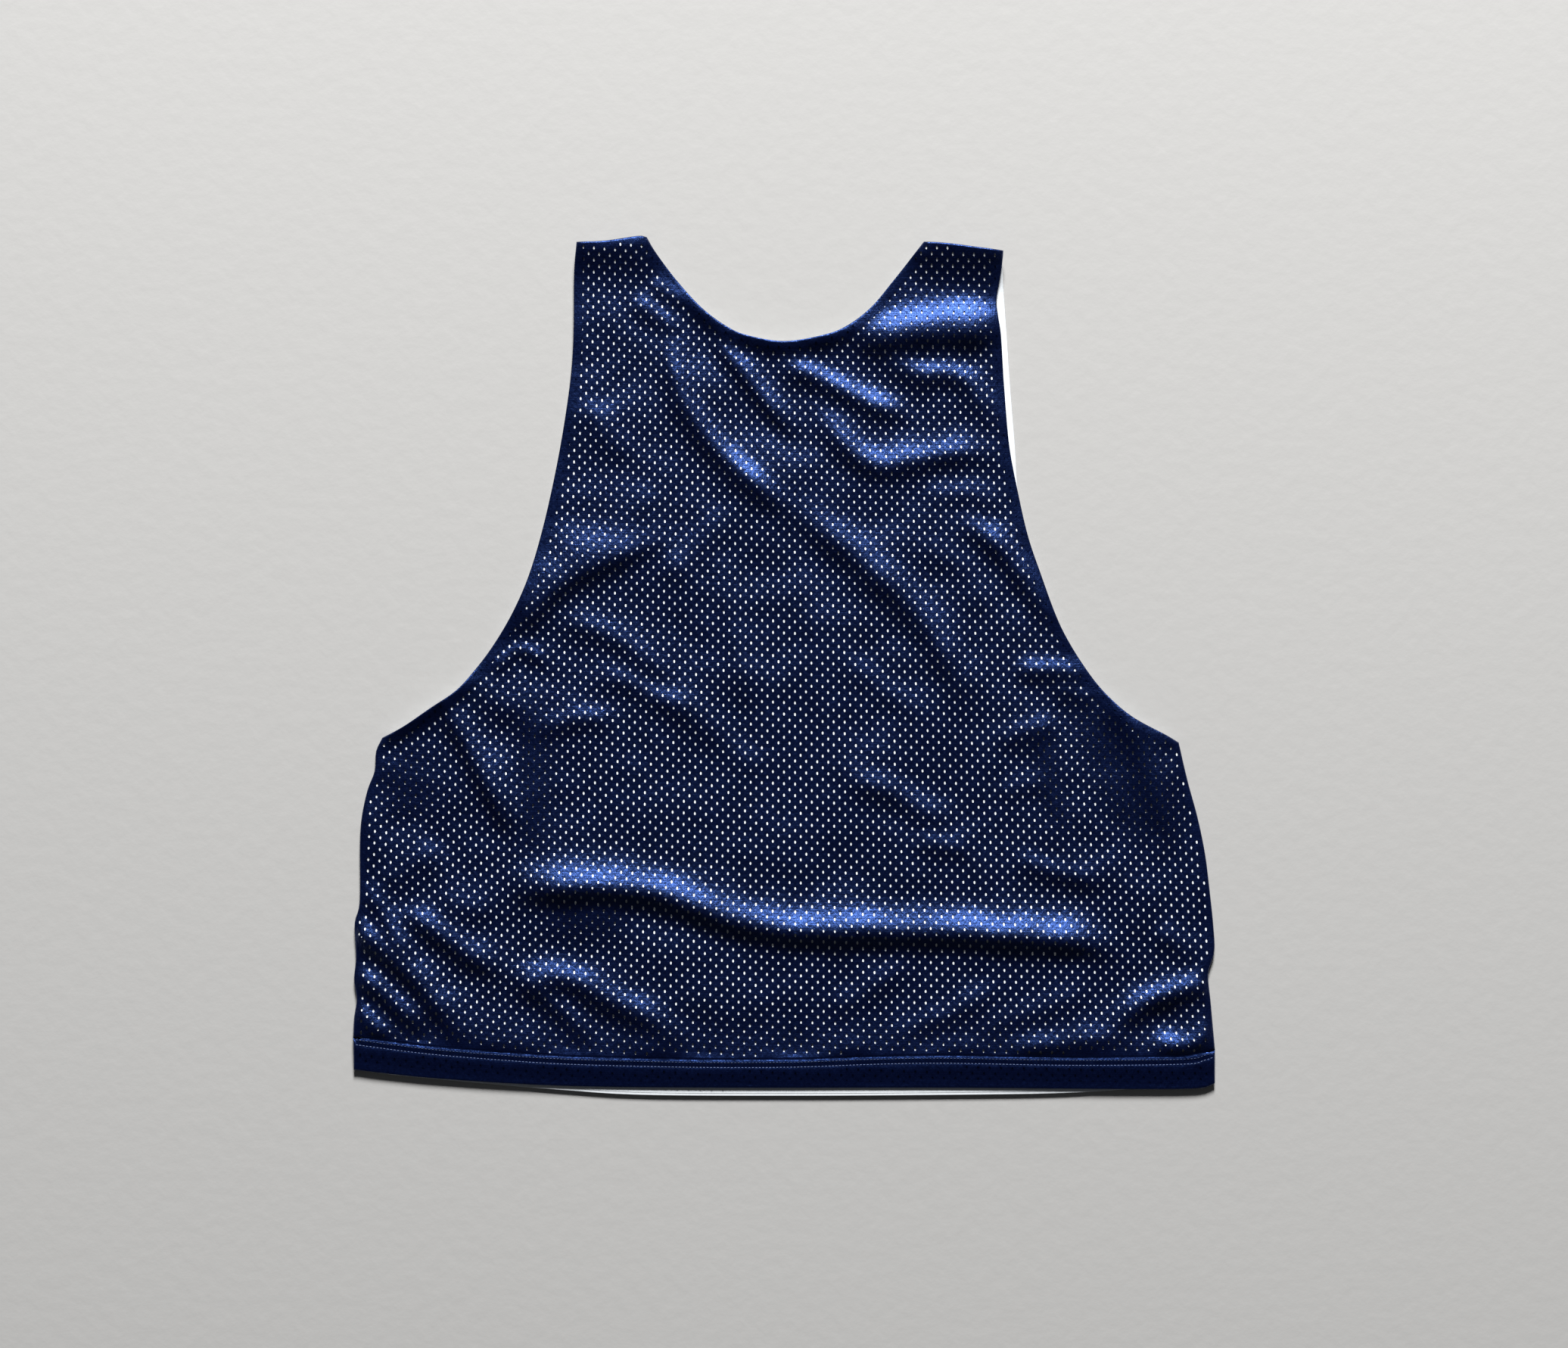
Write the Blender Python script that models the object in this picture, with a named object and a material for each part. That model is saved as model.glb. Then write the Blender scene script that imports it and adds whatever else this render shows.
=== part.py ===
"""A reversible practice jersey of perforated knit, lying flat with its back upward.

A navy shell and a white shell share the neck and the armholes, and each shell has a
front, a back and a turned hem band of its own. From the table up the cloth lies as
navy front, white front, white back, navy back. The navy back closes down over the
white layers along the side seams and the shoulder seams.

The tables are in millimetres on the lying garment, seen from above with the neck at
the top: across from the middle of the hem, and up from the hem's lowest point.
"""

import bpy
import numpy as np
from mathutils.geometry import delaunay_2d_cdt

MM = 0.001
ORIGIN = np.array([0.0, 308.87])

# Cloth and layers
WALL = 1.0
HEM_WALL = 1.5
GAP = 0.3
SEAM_GAP = 0.3
LAYERS = {"front_navy": 0, "front_white": 1, "back_white": 2, "back_navy": 3}
HEM_RISE_LENGTH = 28.0
CLOSED_EDGE = 7.0
CLOSING_RUN = 14.0
FOLD_RUN = 14.0
FOLD_TAPER = 0.22
FOLD_END_SHARE = 0.15
INSET = {"front_navy": 0.5, "front_white": 0.5, "back_white": 0.2, "back_navy": 0.0}
FRONT_NECK_DROP = 35.0

# Spacing of the nets that the walls are drawn over
EDGE_STEP = 11.0
FINE_STEP = 2.0
STATION_STEP = 13.0
BACK_GRID = 27.0
FRONT_GRID = 90.0
EDGE_CLEARANCE = 9.0
LEAST_GUIDE_GAP = 5.5
HEM_ROWS = (9.0, 19.0, 29.0)
FLANK_ROWS = (0.75, 1.6)

# Outline of the back: (across, up)
LEFT_SIDE = (
    (-310.0, 43.0), (-309.3, 57.0), (-307.5, 70.0), (-309.4, 84.0), (-308.0, 100.0),
    (-309.0, 124.0), (-305.4, 140.0), (-305.2, 180.0), (-304.0, 200.0), (-299.8, 220.0),
    (-294.6, 234.0), (-293.6, 248.0), (-289.0, 258.0),
)
LEFT_ARMHOLE = (
    (-289.0, 258.0), (-273.6, 266.0), (-254.5, 279.0), (-235.4, 292.0), (-222.0, 307.0),
    (-208.7, 325.0), (-194.0, 350.0), (-182.6, 377.0), (-171.7, 416.0), (-161.9, 462.0),
    (-154.5, 508.0), (-151.5, 545.0), (-151.0, 590.0), (-149.0, 614.0),
)
LEFT_SHOULDER = ((-149.0, 614.0), (-128.6, 614.8), (-104.0, 618.3), (-98.5, 617.5))
NECKLINE = (
    (-98.5, 617.5), (-92.0, 606.5), (-76.8, 586.4), (-58.9, 566.8), (-41.4, 553.7),
    (-26.7, 547.2), (-0.5, 542.8), (27.8, 547.2), (44.7, 553.7), (62.0, 566.8),
    (78.5, 586.4), (100.3, 614.0),
)
RIGHT_SHOULDER = ((100.3, 614.0), (118.8, 612.6), (140.0, 609.8), (157.5, 607.7))
RIGHT_ARMHOLE_TOP_BACK = (
    (157.5, 607.7), (156.0, 592.7), (152.9, 574.0), (153.8, 561.0), (156.0, 546.0),
    (158.3, 510.0), (162.0, 468.0),
)
RIGHT_ARMHOLE_TOP_FRONT = (
    (157.5, 607.7), (157.4, 592.0), (159.1, 566.0), (160.7, 543.0), (162.4, 517.0),
    (164.3, 492.0), (166.3, 468.0),
)
RIGHT_ARMHOLE = (
    (168.8, 432.0), (175.5, 403.0), (184.2, 377.0), (195.5, 346.0), (206.0, 325.0),
    (221.0, 302.0), (234.9, 286.0), (251.2, 272.5), (275.8, 259.4), (284.0, 254.5),
)
RIGHT_SIDE = (
    (284.0, 254.5), (290.5, 226.7), (297.6, 200.6), (303.0, 174.4), (306.3, 148.0),
    (309.0, 122.0), (309.6, 104.0), (305.3, 88.0), (307.0, 68.0), (310.0, 34.3),
)
HEM_SEAM = (
    (310.0, 34.3), (302.0, 31.5), (286.0, 28.7), (206.0, 27.9), (116.0, 29.4),
    (64.0, 28.6), (7.6, 26.6), (-60.0, 26.4), (-150.0, 28.5), (-205.0, 31.8),
    (-259.0, 36.4), (-310.0, 43.0),
)
BACK_HEM_EDGE = (
    (-309.6, 19.1), (-248.5, 12.8), (-158.6, 7.6), (-46.9, 6.2), (116.6, 6.2),
    (248.0, 5.2), (297.6, 5.8), (310.4, 9.3),
)
FRONT_HEM_EDGE = (
    (-309.0, 20.2), (-284.0, 15.6), (-251.0, 12.3), (-215.8, 9.0), (-158.6, 4.1),
    (-100.0, 0.6), (7.6, 0.0), (116.6, 0.6), (198.4, 1.9), (248.0, 5.0), (309.4, 10.4),
)

# Largest folds of the back: each path runs left to right, and its left-hand flank
# faces the neck.
# name, height, half width on the neck side, half width on the hem side, path
FOLDS = (
    ("waist roll", 9.5, 12.0, 14.0,
     ((-192, 150), (-161, 152), (-129, 153), (-96, 149), (-74, 143), (-47, 133),
      (-20, 126), (13, 122), (62, 122), (117, 121), (171, 118), (215, 116), (246, 103))),
    ("left hem sweep", 7.0, 9.0, 9.0,
     ((-306, 118), (-290, 98), (-270, 86), (-258, 72), (-243, 50), (-231, 36))),
    ("left side crease", 4.5, 6.0, 6.0,
     ((-298, 152), (-286, 128), (-272, 98), (-264, 88))),
    ("hem fan inner", 4.0, 7.0, 8.0,
     ((-266, 128), (-252, 112), (-238, 92), (-226, 76))),
    ("hem fan outer", 5.0, 10.0, 14.0,
     ((-232, 106), (-212, 92), (-184, 85), (-160, 76), (-134, 66), (-112, 54), (-88, 44))),
    ("left underarm crease", 4.5, 12.0, 6.0,
     ((-232, 284), (-220, 262), (-210, 240), (-200, 216), (-190, 190))),
    ("left chest", 6.5, 16.0, 11.0,
     ((-184, 346), (-166, 366), (-146, 378), (-120, 388), (-98, 398), (-80, 404))),
    ("neck to waist", 6.5, 10.0, 12.0,
     ((-80, 545), (-75, 508), (-62, 480), (-42, 458), (-18, 438), (0, 420), (26, 404),
      (50, 382), (74, 366), (96, 346), (114, 320), (128, 290))),
    ("neck left", 4.5, 7.0, 8.0, ((-50, 536), (-34, 522), (-20, 502), (-8, 488))),
    ("neck right", 5.0, 7.0, 9.0, ((-6, 524), (24, 513), (52, 498), (76, 490))),
    ("chest right", 6.0, 10.0, 13.0,
     ((26, 486), (46, 466), (64, 454), (90, 456), (112, 460), (138, 458))),
    ("strap arch", 5.0, 9.0, 10.0, ((86, 512), (108, 516), (128, 508), (142, 490), (150, 476))),
    ("right strap", 8.5, 15.0, 12.0, ((58, 553), (86, 554), (110, 556), (134, 557), (154, 552))),
    ("right armhole", 4.5, 9.0, 8.0,
     ((136, 406), (156, 392), (172, 370), (188, 346), (200, 328))),
    ("right underarm", 4.5, 9.0, 15.0,
     ((222, 284), (238, 264), (254, 248), (266, 226), (274, 196))),
    ("right hem corner", 5.5, 7.0, 10.0, ((250, 58), (264, 68), (282, 72), (298, 78))),
    ("right hem", 4.0, 9.0, 7.0, ((160, 38), (198, 38), (230, 41), (256, 43), (274, 38))),
)

COLOURS = {
    "navy": (0.010, 0.026, 0.085, 1.0),
    "white": (0.80, 0.82, 0.84, 1.0),
}
ROUGHNESS = {"navy": 0.42, "white": 0.6}


def curve_through(points, step):
    """Points about one step apart on a smooth curve through the given ones."""
    given = np.array(points, float)
    held = np.vstack([2 * given[0] - given[1], given, 2 * given[-1] - given[-2]])
    fine = []
    for i in range(len(given) - 1):
        a, b, c, d = held[i : i + 4]
        t = np.linspace(0, 1, 24, endpoint=False)[:, None]
        fine.append(
            0.5 * (2 * b + (c - a) * t + (2 * a - 5 * b + 4 * c - d) * t**2
                   + (3 * b - a - 3 * c + d) * t**3)
        )
    fine = np.vstack([*fine, given[-1:]])
    along = np.r_[0, np.cumsum(np.linalg.norm(np.diff(fine, axis=0), axis=1))]
    count = max(1, round(along[-1] / step))
    wanted = np.linspace(0, along[-1], count + 1)
    return np.column_stack([np.interp(wanted, along, fine[:, k]) for k in (0, 1)])


def loop_of(edges, step):
    """One closed loop, counter-clockwise, through edges that share their end points."""
    drawn = [curve_through(edge, step)[:-1] for edge in edges]
    return np.vstack(drawn)[::-1]


def smooth(value):
    """0 below 0, 1 above 1, and an easy S between."""
    held = np.clip(value, 0.0, 1.0)
    return held * held * (3 - 2 * held)


def distance_to(line, points):
    """Distance from each point to a line given as closely spaced points."""
    return np.linalg.norm(points[:, None] - line[None], axis=2).min(axis=1)


def left_of(line):
    """Unit vectors square to a line, to the left of its run."""
    ahead = np.gradient(line, axis=0)
    left = np.column_stack([-ahead[:, 1], ahead[:, 0]])
    return left / np.linalg.norm(left, axis=1)[:, None]


def moved_in(loop, amount):
    """A counter-clockwise loop with each point moved inside by its own amount."""
    ahead = np.roll(loop, -1, axis=0) - np.roll(loop, 1, axis=0)
    normal = np.column_stack([-ahead[:, 1], ahead[:, 0]])
    normal /= np.linalg.norm(normal, axis=1)[:, None]
    return loop + normal * amount[:, None]


def inside(loop, points):
    """Which points lie inside a closed loop."""
    ahead = np.roll(loop, -1, axis=0)
    crossed = (loop[None, :, 1] > points[:, None, 1]) != (ahead[None, :, 1] > points[:, None, 1])
    rise = np.where(ahead[:, 1] == loop[:, 1], 1e-9, ahead[:, 1] - loop[:, 1])
    at = (ahead[:, 0] - loop[:, 0]) * (points[:, None, 1] - loop[:, 1]) / rise + loop[:, 0]
    return (crossed & (points[:, None, 0] < at)).sum(axis=1) % 2 == 1


def fold_lift(points):
    """Height that the folds add to the back at each point."""
    lift = np.zeros(len(points))
    for _, height, neck_side, hem_side, path in FOLDS:
        line = curve_through(path, FINE_STEP)
        away = points[:, None] - line[None]
        nearest = np.linalg.norm(away, axis=2).argmin(axis=1)
        away = away[np.arange(len(points)), nearest]
        far = np.linalg.norm(away, axis=1)
        lean = (away * left_of(line)[nearest]).sum(axis=1) / np.maximum(far, 1e-6)
        width = hem_side + (neck_side - hem_side) * (1 + lean) / 2
        place = nearest / (len(line) - 1)
        taper = smooth(place / FOLD_TAPER) * smooth((1 - place) / FOLD_TAPER)
        crest = height * (FOLD_END_SHARE + (1 - FOLD_END_SHARE) * taper)
        lift += crest * np.exp(-((far / width) ** 2))
    return lift


def fold_rows():
    """Guide points along each fold: its crest, its two flanks and its two feet."""
    crests, flanks = [], []
    for _, _, neck_side, hem_side, path in FOLDS:
        line = curve_through(path, STATION_STEP)
        crests.append(line)
        for share in FLANK_ROWS:
            flanks.append(line + left_of(line) * neck_side * share)
            flanks.append(line - left_of(line) * hem_side * share)
    return np.vstack(crests + flanks)


def grid_over(loop, pitch):
    """Points of a triangular grid over the loop's box."""
    low, high = loop.min(axis=0), loop.max(axis=0)
    points = [
        (across + (pitch / 2 if i % 2 else 0.0), up)
        for i, up in enumerate(np.arange(low[1], high[1], pitch * 0.866))
        for across in np.arange(low[0], high[0], pitch)
    ]
    return np.array(points)


def net_over(loop, rows, pitch):
    """A flat net: points, with the loop first, and triangles over them.

    The rows come before the grid, and a point too near the loop or another is left out.
    """
    steps = np.linspace(0, 1, 5, endpoint=False)[:, None, None]
    edge = (loop + (np.roll(loop, -1, axis=0) - loop) * steps).reshape(-1, 2)
    kept = np.empty((0, 2))
    for candidates, least in ((rows, LEAST_GUIDE_GAP), (grid_over(loop, pitch), pitch * 0.55)):
        candidates = candidates[inside(loop, candidates)]
        candidates = candidates[distance_to(edge, candidates) > EDGE_CLEARANCE]
        for point in candidates:
            if not len(kept) or np.linalg.norm(kept - point, axis=1).min() > least:
                kept = np.vstack([kept, point])
    points = np.vstack([loop, kept])
    sides = [(i, (i + 1) % len(loop)) for i in range(len(loop))]
    found = delaunay_2d_cdt([tuple(p) for p in points], sides, [], 0, 1e-6, True)
    origin = [ids[0] for ids in found[3]]
    triangles = np.array([[origin[i] for i in face] for face in found[2]])
    return points, triangles[inside(loop, points[triangles].mean(axis=1))]


def widened(points, triangles, outline):
    """The net with a strip round it out to the outline, which comes first in its points."""
    count = len(outline)
    strip = []
    for i in range(count):
        j = (i + 1) % count
        strip.append((i, j, count + j))
        strip.append((i, count + j, count + i))
    return np.vstack([outline, points]), np.vstack([triangles + count, strip])


def wall(name, points, triangles, edge_count, under, over):
    """A closed cloth wall: its net at the height under, and again at the height over."""
    flat = (points - ORIGIN) * MM
    low = np.column_stack([flat, under * MM])
    high = np.column_stack([flat, over * MM])
    count = len(points)
    faces = (triangles + count).tolist() + triangles[:, ::-1].tolist()
    for i in range(edge_count):
        j = (i + 1) % edge_count
        faces.append([i, j, j + count, i + count])
    mesh = bpy.data.meshes.new(name)
    mesh.from_pydata(np.vstack([low, high]).tolist(), [], faces)
    mesh.update()
    mesh.shade_smooth()
    mesh.set_sharp_from_angle(angle=np.radians(50))
    mesh.materials.append(bpy.data.materials[name.split("_")[-1] + "_knit"])
    piece = bpy.data.objects.new(name, mesh)
    bpy.context.scene.collection.objects.link(piece)


def knit_finish(name):
    """The finish of a knit: a dull white or a satin navy."""
    material = bpy.data.materials.new(name + "_knit")
    material.use_nodes = True
    shader = material.node_tree.nodes["Principled BSDF"]
    shader.inputs["Base Color"].default_value = COLOURS[name]
    shader.inputs["Roughness"].default_value = ROUGHNESS[name]
    shader.inputs["Metallic"].default_value = 0.0
    material.diffuse_color = COLOURS[name]


def above_seam(points):
    """How far each point lies above the hem seam."""
    seam = np.array(HEM_SEAM[::-1])
    return points[:, 1] - np.interp(points[:, 0], seam[:, 0], seam[:, 1])


def flat_level(layer, points):
    """Underside of a flat layer, which climbs a little to meet its thicker hem band."""
    rise = 1 - smooth(above_seam(points) / HEM_RISE_LENGTH)
    return LAYERS[layer] * (WALL + GAP + (HEM_WALL - WALL) * rise)


def back_ground(points, closed):
    """Underside of the white back with its folds, which die out at closed edges."""
    settled = smooth(distance_to(closed, points) / FOLD_RUN)
    settled *= smooth(above_seam(points) / FOLD_RUN)
    return flat_level("back_white", points) + fold_lift(points) * settled


def front_neckline():
    """The back's neckline, scooped deeper in the middle."""
    deepest = min(up for _, up in NECKLINE)
    ends = np.interp([p[0] for p in NECKLINE], *zip(NECKLINE[0], NECKLINE[-1]))
    return tuple(
        (across, up - FRONT_NECK_DROP * smooth((end - up) / (end - deepest)))
        for (across, up), end in zip(NECKLINE, ends)
    )


def inset_of(layer, loop, closed):
    """How far a layer stops short of the outline: the whites leave closed edges free."""
    near = 1 - smooth(distance_to(closed, loop) / CLOSING_RUN)
    if not layer.endswith("white"):
        near = near * 0.0
    return INSET[layer] + (CLOSED_EDGE - INSET[layer]) * near


def back_panels(closed):
    outline = loop_of(BACK_EDGES, EDGE_STEP)
    hem_rows = [curve_through(HEM_SEAM, STATION_STEP * 1.5) + (0, row) for row in HEM_ROWS]
    white = moved_in(outline, inset_of("back_white", outline, closed))
    points, triangles = net_over(white, np.vstack([fold_rows(), *hem_rows]), BACK_GRID)
    ground = back_ground(points, closed)
    slope = [
        (back_ground(points + step, closed) - back_ground(points - step, closed)) / 2
        for step in ((1.0, 0.0), (0.0, 1.0))
    ]
    steep = np.sqrt(1 + slope[0] ** 2 + slope[1] ** 2)
    wall("back_panel_white", points, triangles, len(white), ground, ground + WALL * steep)

    rise = flat_level("back_navy", points) - flat_level("back_white", points) - WALL
    ground = ground + (WALL + rise) * steep
    shut = 1 - smooth(distance_to(closed, outline) / CLOSING_RUN)
    edge = ground[: len(white)] * (1 - shut) + flat_level("front_white", outline) * shut
    steep = np.r_[steep[: len(white)], steep]
    points, triangles = widened(points, triangles, outline)
    ground = np.r_[edge, ground]
    wall("back_panel_navy", points, triangles, len(outline), ground, ground + WALL * steep)


def front_panels(closed):
    outline = loop_of(FRONT_EDGES, EDGE_STEP)
    hem_rows = [curve_through(HEM_SEAM, STATION_STEP * 2) + (0, row) for row in HEM_ROWS[1:]]
    for layer in ("front_white", "front_navy"):
        loop = moved_in(outline, inset_of(layer, outline, closed))
        points, triangles = net_over(loop, np.vstack(hem_rows), FRONT_GRID)
        ground = flat_level(layer, points)
        name = layer.replace("_", "_panel_")
        wall(name, points, triangles, len(loop), ground, ground + WALL)


def hem_band(layer, edge):
    """A flat band from just under its panel's seam down to its own bottom edge."""
    end = CLOSED_EDGE if layer.endswith("white") else INSET[layer]
    seam = curve_through(HEM_SEAM, EDGE_STEP)[::-1]
    bottom = curve_through(edge, FINE_STEP)
    span = seam[-1, 0]
    stations = seam[abs(seam[:, 0]) < span - CLOSED_EDGE - FINE_STEP, 0]
    stations = np.r_[CLOSED_EDGE - span, stations, span - CLOSED_EDGE]
    if end < CLOSED_EDGE:
        stations = np.r_[end - span, stations, span - end]
    high = np.interp(stations, seam[:, 0], seam[:, 1]) - SEAM_GAP + INSET[layer]
    low = np.interp(stations, bottom[:, 0], bottom[:, 1])
    count = len(stations)
    points = np.vstack(
        [np.column_stack([stations, low]), np.column_stack([stations, high])[::-1]]
    )
    triangles = []
    for i in range(count - 1):
        top = 2 * count - 1 - i
        triangles.append((i, i + 1, top - 1))
        triangles.append((i, top - 1, top))
    ground = np.full(len(points), LAYERS[layer] * (HEM_WALL + GAP))
    if layer == "back_navy":
        ground[[0, count - 1, count, -1]] = LAYERS["front_white"] * (HEM_WALL + GAP)
    name = layer.replace("_", "_hem_")
    wall(name, points, np.array(triangles), len(points), ground, ground + HEM_WALL)


BACK_EDGES = (
    LEFT_SIDE, LEFT_ARMHOLE, LEFT_SHOULDER, NECKLINE, RIGHT_SHOULDER,
    RIGHT_ARMHOLE_TOP_BACK + RIGHT_ARMHOLE, RIGHT_SIDE, HEM_SEAM,
)
FRONT_EDGES = (
    LEFT_SIDE, LEFT_ARMHOLE, LEFT_SHOULDER, front_neckline(), RIGHT_SHOULDER,
    RIGHT_ARMHOLE_TOP_FRONT + RIGHT_ARMHOLE, RIGHT_SIDE, HEM_SEAM,
)


def build():
    for old in list(bpy.data.objects):
        bpy.data.objects.remove(old, do_unlink=True)
    for name in COLOURS:
        knit_finish(name)
    closed = (LEFT_SIDE, LEFT_SHOULDER, RIGHT_SHOULDER, RIGHT_SIDE)
    closed = np.vstack([curve_through(edge, FINE_STEP) for edge in closed])
    back_panels(closed)
    front_panels(closed)
    hem_band("back_navy", BACK_HEM_EDGE)
    hem_band("back_white", BACK_HEM_EDGE)
    hem_band("front_white", FRONT_HEM_EDGE)
    hem_band("front_navy", BACK_HEM_EDGE)


build()
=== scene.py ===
"""Looks of a reversible mesh practice jersey lying flat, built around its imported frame.

Tables are in millimetres on the lying garment, seen from above with the neck at the
top: across from the middle of the hem, and up from the hem's lowest point.
"""

import functools
import math

import bpy
import numpy as np
from bpy.props import FloatProperty, FloatVectorProperty, IntProperty, PointerProperty
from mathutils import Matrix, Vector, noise
from mathutils.geometry import delaunay_2d_cdt


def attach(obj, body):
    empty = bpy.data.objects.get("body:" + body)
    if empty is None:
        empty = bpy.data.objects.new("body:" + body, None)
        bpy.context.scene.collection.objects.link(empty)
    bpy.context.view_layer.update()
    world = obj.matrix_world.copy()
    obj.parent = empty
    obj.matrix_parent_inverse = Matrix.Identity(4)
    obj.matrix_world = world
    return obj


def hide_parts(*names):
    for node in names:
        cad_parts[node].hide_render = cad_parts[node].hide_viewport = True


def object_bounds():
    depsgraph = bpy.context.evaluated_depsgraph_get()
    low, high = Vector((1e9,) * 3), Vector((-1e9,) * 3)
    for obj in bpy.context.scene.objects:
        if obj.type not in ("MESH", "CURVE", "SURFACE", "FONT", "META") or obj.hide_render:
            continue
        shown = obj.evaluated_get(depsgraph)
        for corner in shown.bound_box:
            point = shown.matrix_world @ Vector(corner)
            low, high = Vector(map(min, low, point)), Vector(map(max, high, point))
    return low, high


bl_info = {
    "name": "Mesh practice jersey",
    "version": (1, 0, 0),
    "blender": (4, 5, 0),
    "location": "3D View > Sidebar > Jersey",
    "description": "Perforated cloth, hems, stitching and stage for a reversible practice jersey",
    "category": "Add Mesh",
}

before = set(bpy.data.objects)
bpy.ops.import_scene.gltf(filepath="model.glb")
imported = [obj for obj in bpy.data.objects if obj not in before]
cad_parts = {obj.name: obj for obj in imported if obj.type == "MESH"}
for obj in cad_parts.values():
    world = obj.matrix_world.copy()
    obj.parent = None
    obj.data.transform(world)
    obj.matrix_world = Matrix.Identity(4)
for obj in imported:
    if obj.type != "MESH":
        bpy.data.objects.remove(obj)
CAD_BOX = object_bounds()
MM = 0.001
ORIGIN = np.array([0.0, 308.87])

# Outline of the back: (across, up)
LEFT_SIDE = (
    (-310.0, 43.0), (-309.3, 57.0), (-307.5, 70.0), (-309.4, 84.0), (-308.0, 100.0),
    (-309.0, 124.0), (-305.4, 140.0), (-305.2, 180.0), (-304.0, 200.0), (-299.8, 220.0),
    (-294.6, 234.0), (-293.6, 248.0), (-289.0, 258.0),
)
LEFT_ARMHOLE = (
    (-289.0, 258.0), (-273.6, 266.0), (-254.5, 279.0), (-235.4, 292.0), (-222.0, 307.0),
    (-208.7, 325.0), (-194.0, 350.0), (-182.6, 377.0), (-171.7, 416.0), (-161.9, 462.0),
    (-154.5, 508.0), (-151.5, 545.0), (-151.0, 590.0), (-149.0, 614.0),
)
LEFT_SHOULDER = ((-149.0, 614.0), (-128.6, 614.8), (-104.0, 618.3), (-98.5, 617.5))
NECKLINE = (
    (-98.5, 617.5), (-92.0, 606.5), (-76.8, 586.4), (-58.9, 566.8), (-41.4, 553.7),
    (-26.7, 547.2), (-0.5, 542.8), (27.8, 547.2), (44.7, 553.7), (62.0, 566.8),
    (78.5, 586.4), (100.3, 614.0),
)
RIGHT_SHOULDER = ((100.3, 614.0), (118.8, 612.6), (140.0, 609.8), (157.5, 607.7))
RIGHT_ARMHOLE_TOP_BACK = (
    (157.5, 607.7), (156.0, 592.7), (152.9, 574.0), (153.8, 561.0), (156.0, 546.0),
    (158.3, 510.0), (162.0, 468.0),
)
RIGHT_ARMHOLE_TOP_FRONT = (
    (157.5, 607.7), (157.4, 592.0), (159.1, 566.0), (160.7, 543.0), (162.4, 517.0),
    (164.3, 492.0), (166.3, 468.0),
)
RIGHT_ARMHOLE = (
    (168.8, 432.0), (175.5, 403.0), (184.2, 377.0), (195.5, 346.0), (206.0, 325.0),
    (221.0, 302.0), (234.9, 286.0), (251.2, 272.5), (275.8, 259.4), (284.0, 254.5),
)
RIGHT_SIDE = (
    (284.0, 254.5), (290.5, 226.7), (297.6, 200.6), (303.0, 174.4), (306.3, 148.0),
    (309.0, 122.0), (309.6, 104.0), (305.3, 88.0), (307.0, 68.0), (310.0, 34.3),
)
HEM_SEAM = (
    (310.0, 34.3), (302.0, 31.5), (286.0, 28.7), (206.0, 27.9), (116.0, 29.4),
    (64.0, 28.6), (7.6, 26.6), (-60.0, 26.4), (-150.0, 28.5), (-205.0, 31.8),
    (-259.0, 36.4), (-310.0, 43.0),
)
BACK_HEM_EDGE = (
    (-309.6, 19.1), (-248.5, 12.8), (-158.6, 7.6), (-46.9, 6.2), (116.6, 6.2),
    (248.0, 5.2), (297.6, 5.8), (310.0, 9.3),
)
FRONT_HEM_EDGE = (
    (-309.6, 20.2), (-284.0, 15.6), (-251.0, 12.3), (-215.8, 9.0), (-158.6, 4.1),
    (-100.0, 0.6), (7.6, 0.0), (116.6, 0.6), (198.4, 1.9), (248.0, 5.0), (310.0, 10.4),
)
FRONT_NECK_DROP = 35.0

# Mesh rows fall to the right: (across, slope of a row there)
ROW_SLOPE = (
    (-310.0, 0.120), (-250.0, 0.145), (-200.0, 0.125), (-160.0, 0.096), (-100.0, 0.077),
    (-40.0, 0.058), (20.0, 0.036), (80.0, 0.029), (140.0, 0.028), (200.0, 0.020),
    (310.0, 0.040),
)
# Mesh columns fan out below this line by this share for each millimetre
COLUMNS_STRAIGHT_AT = 330.0
COLUMN_FLARE = 1.4e-4

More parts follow.
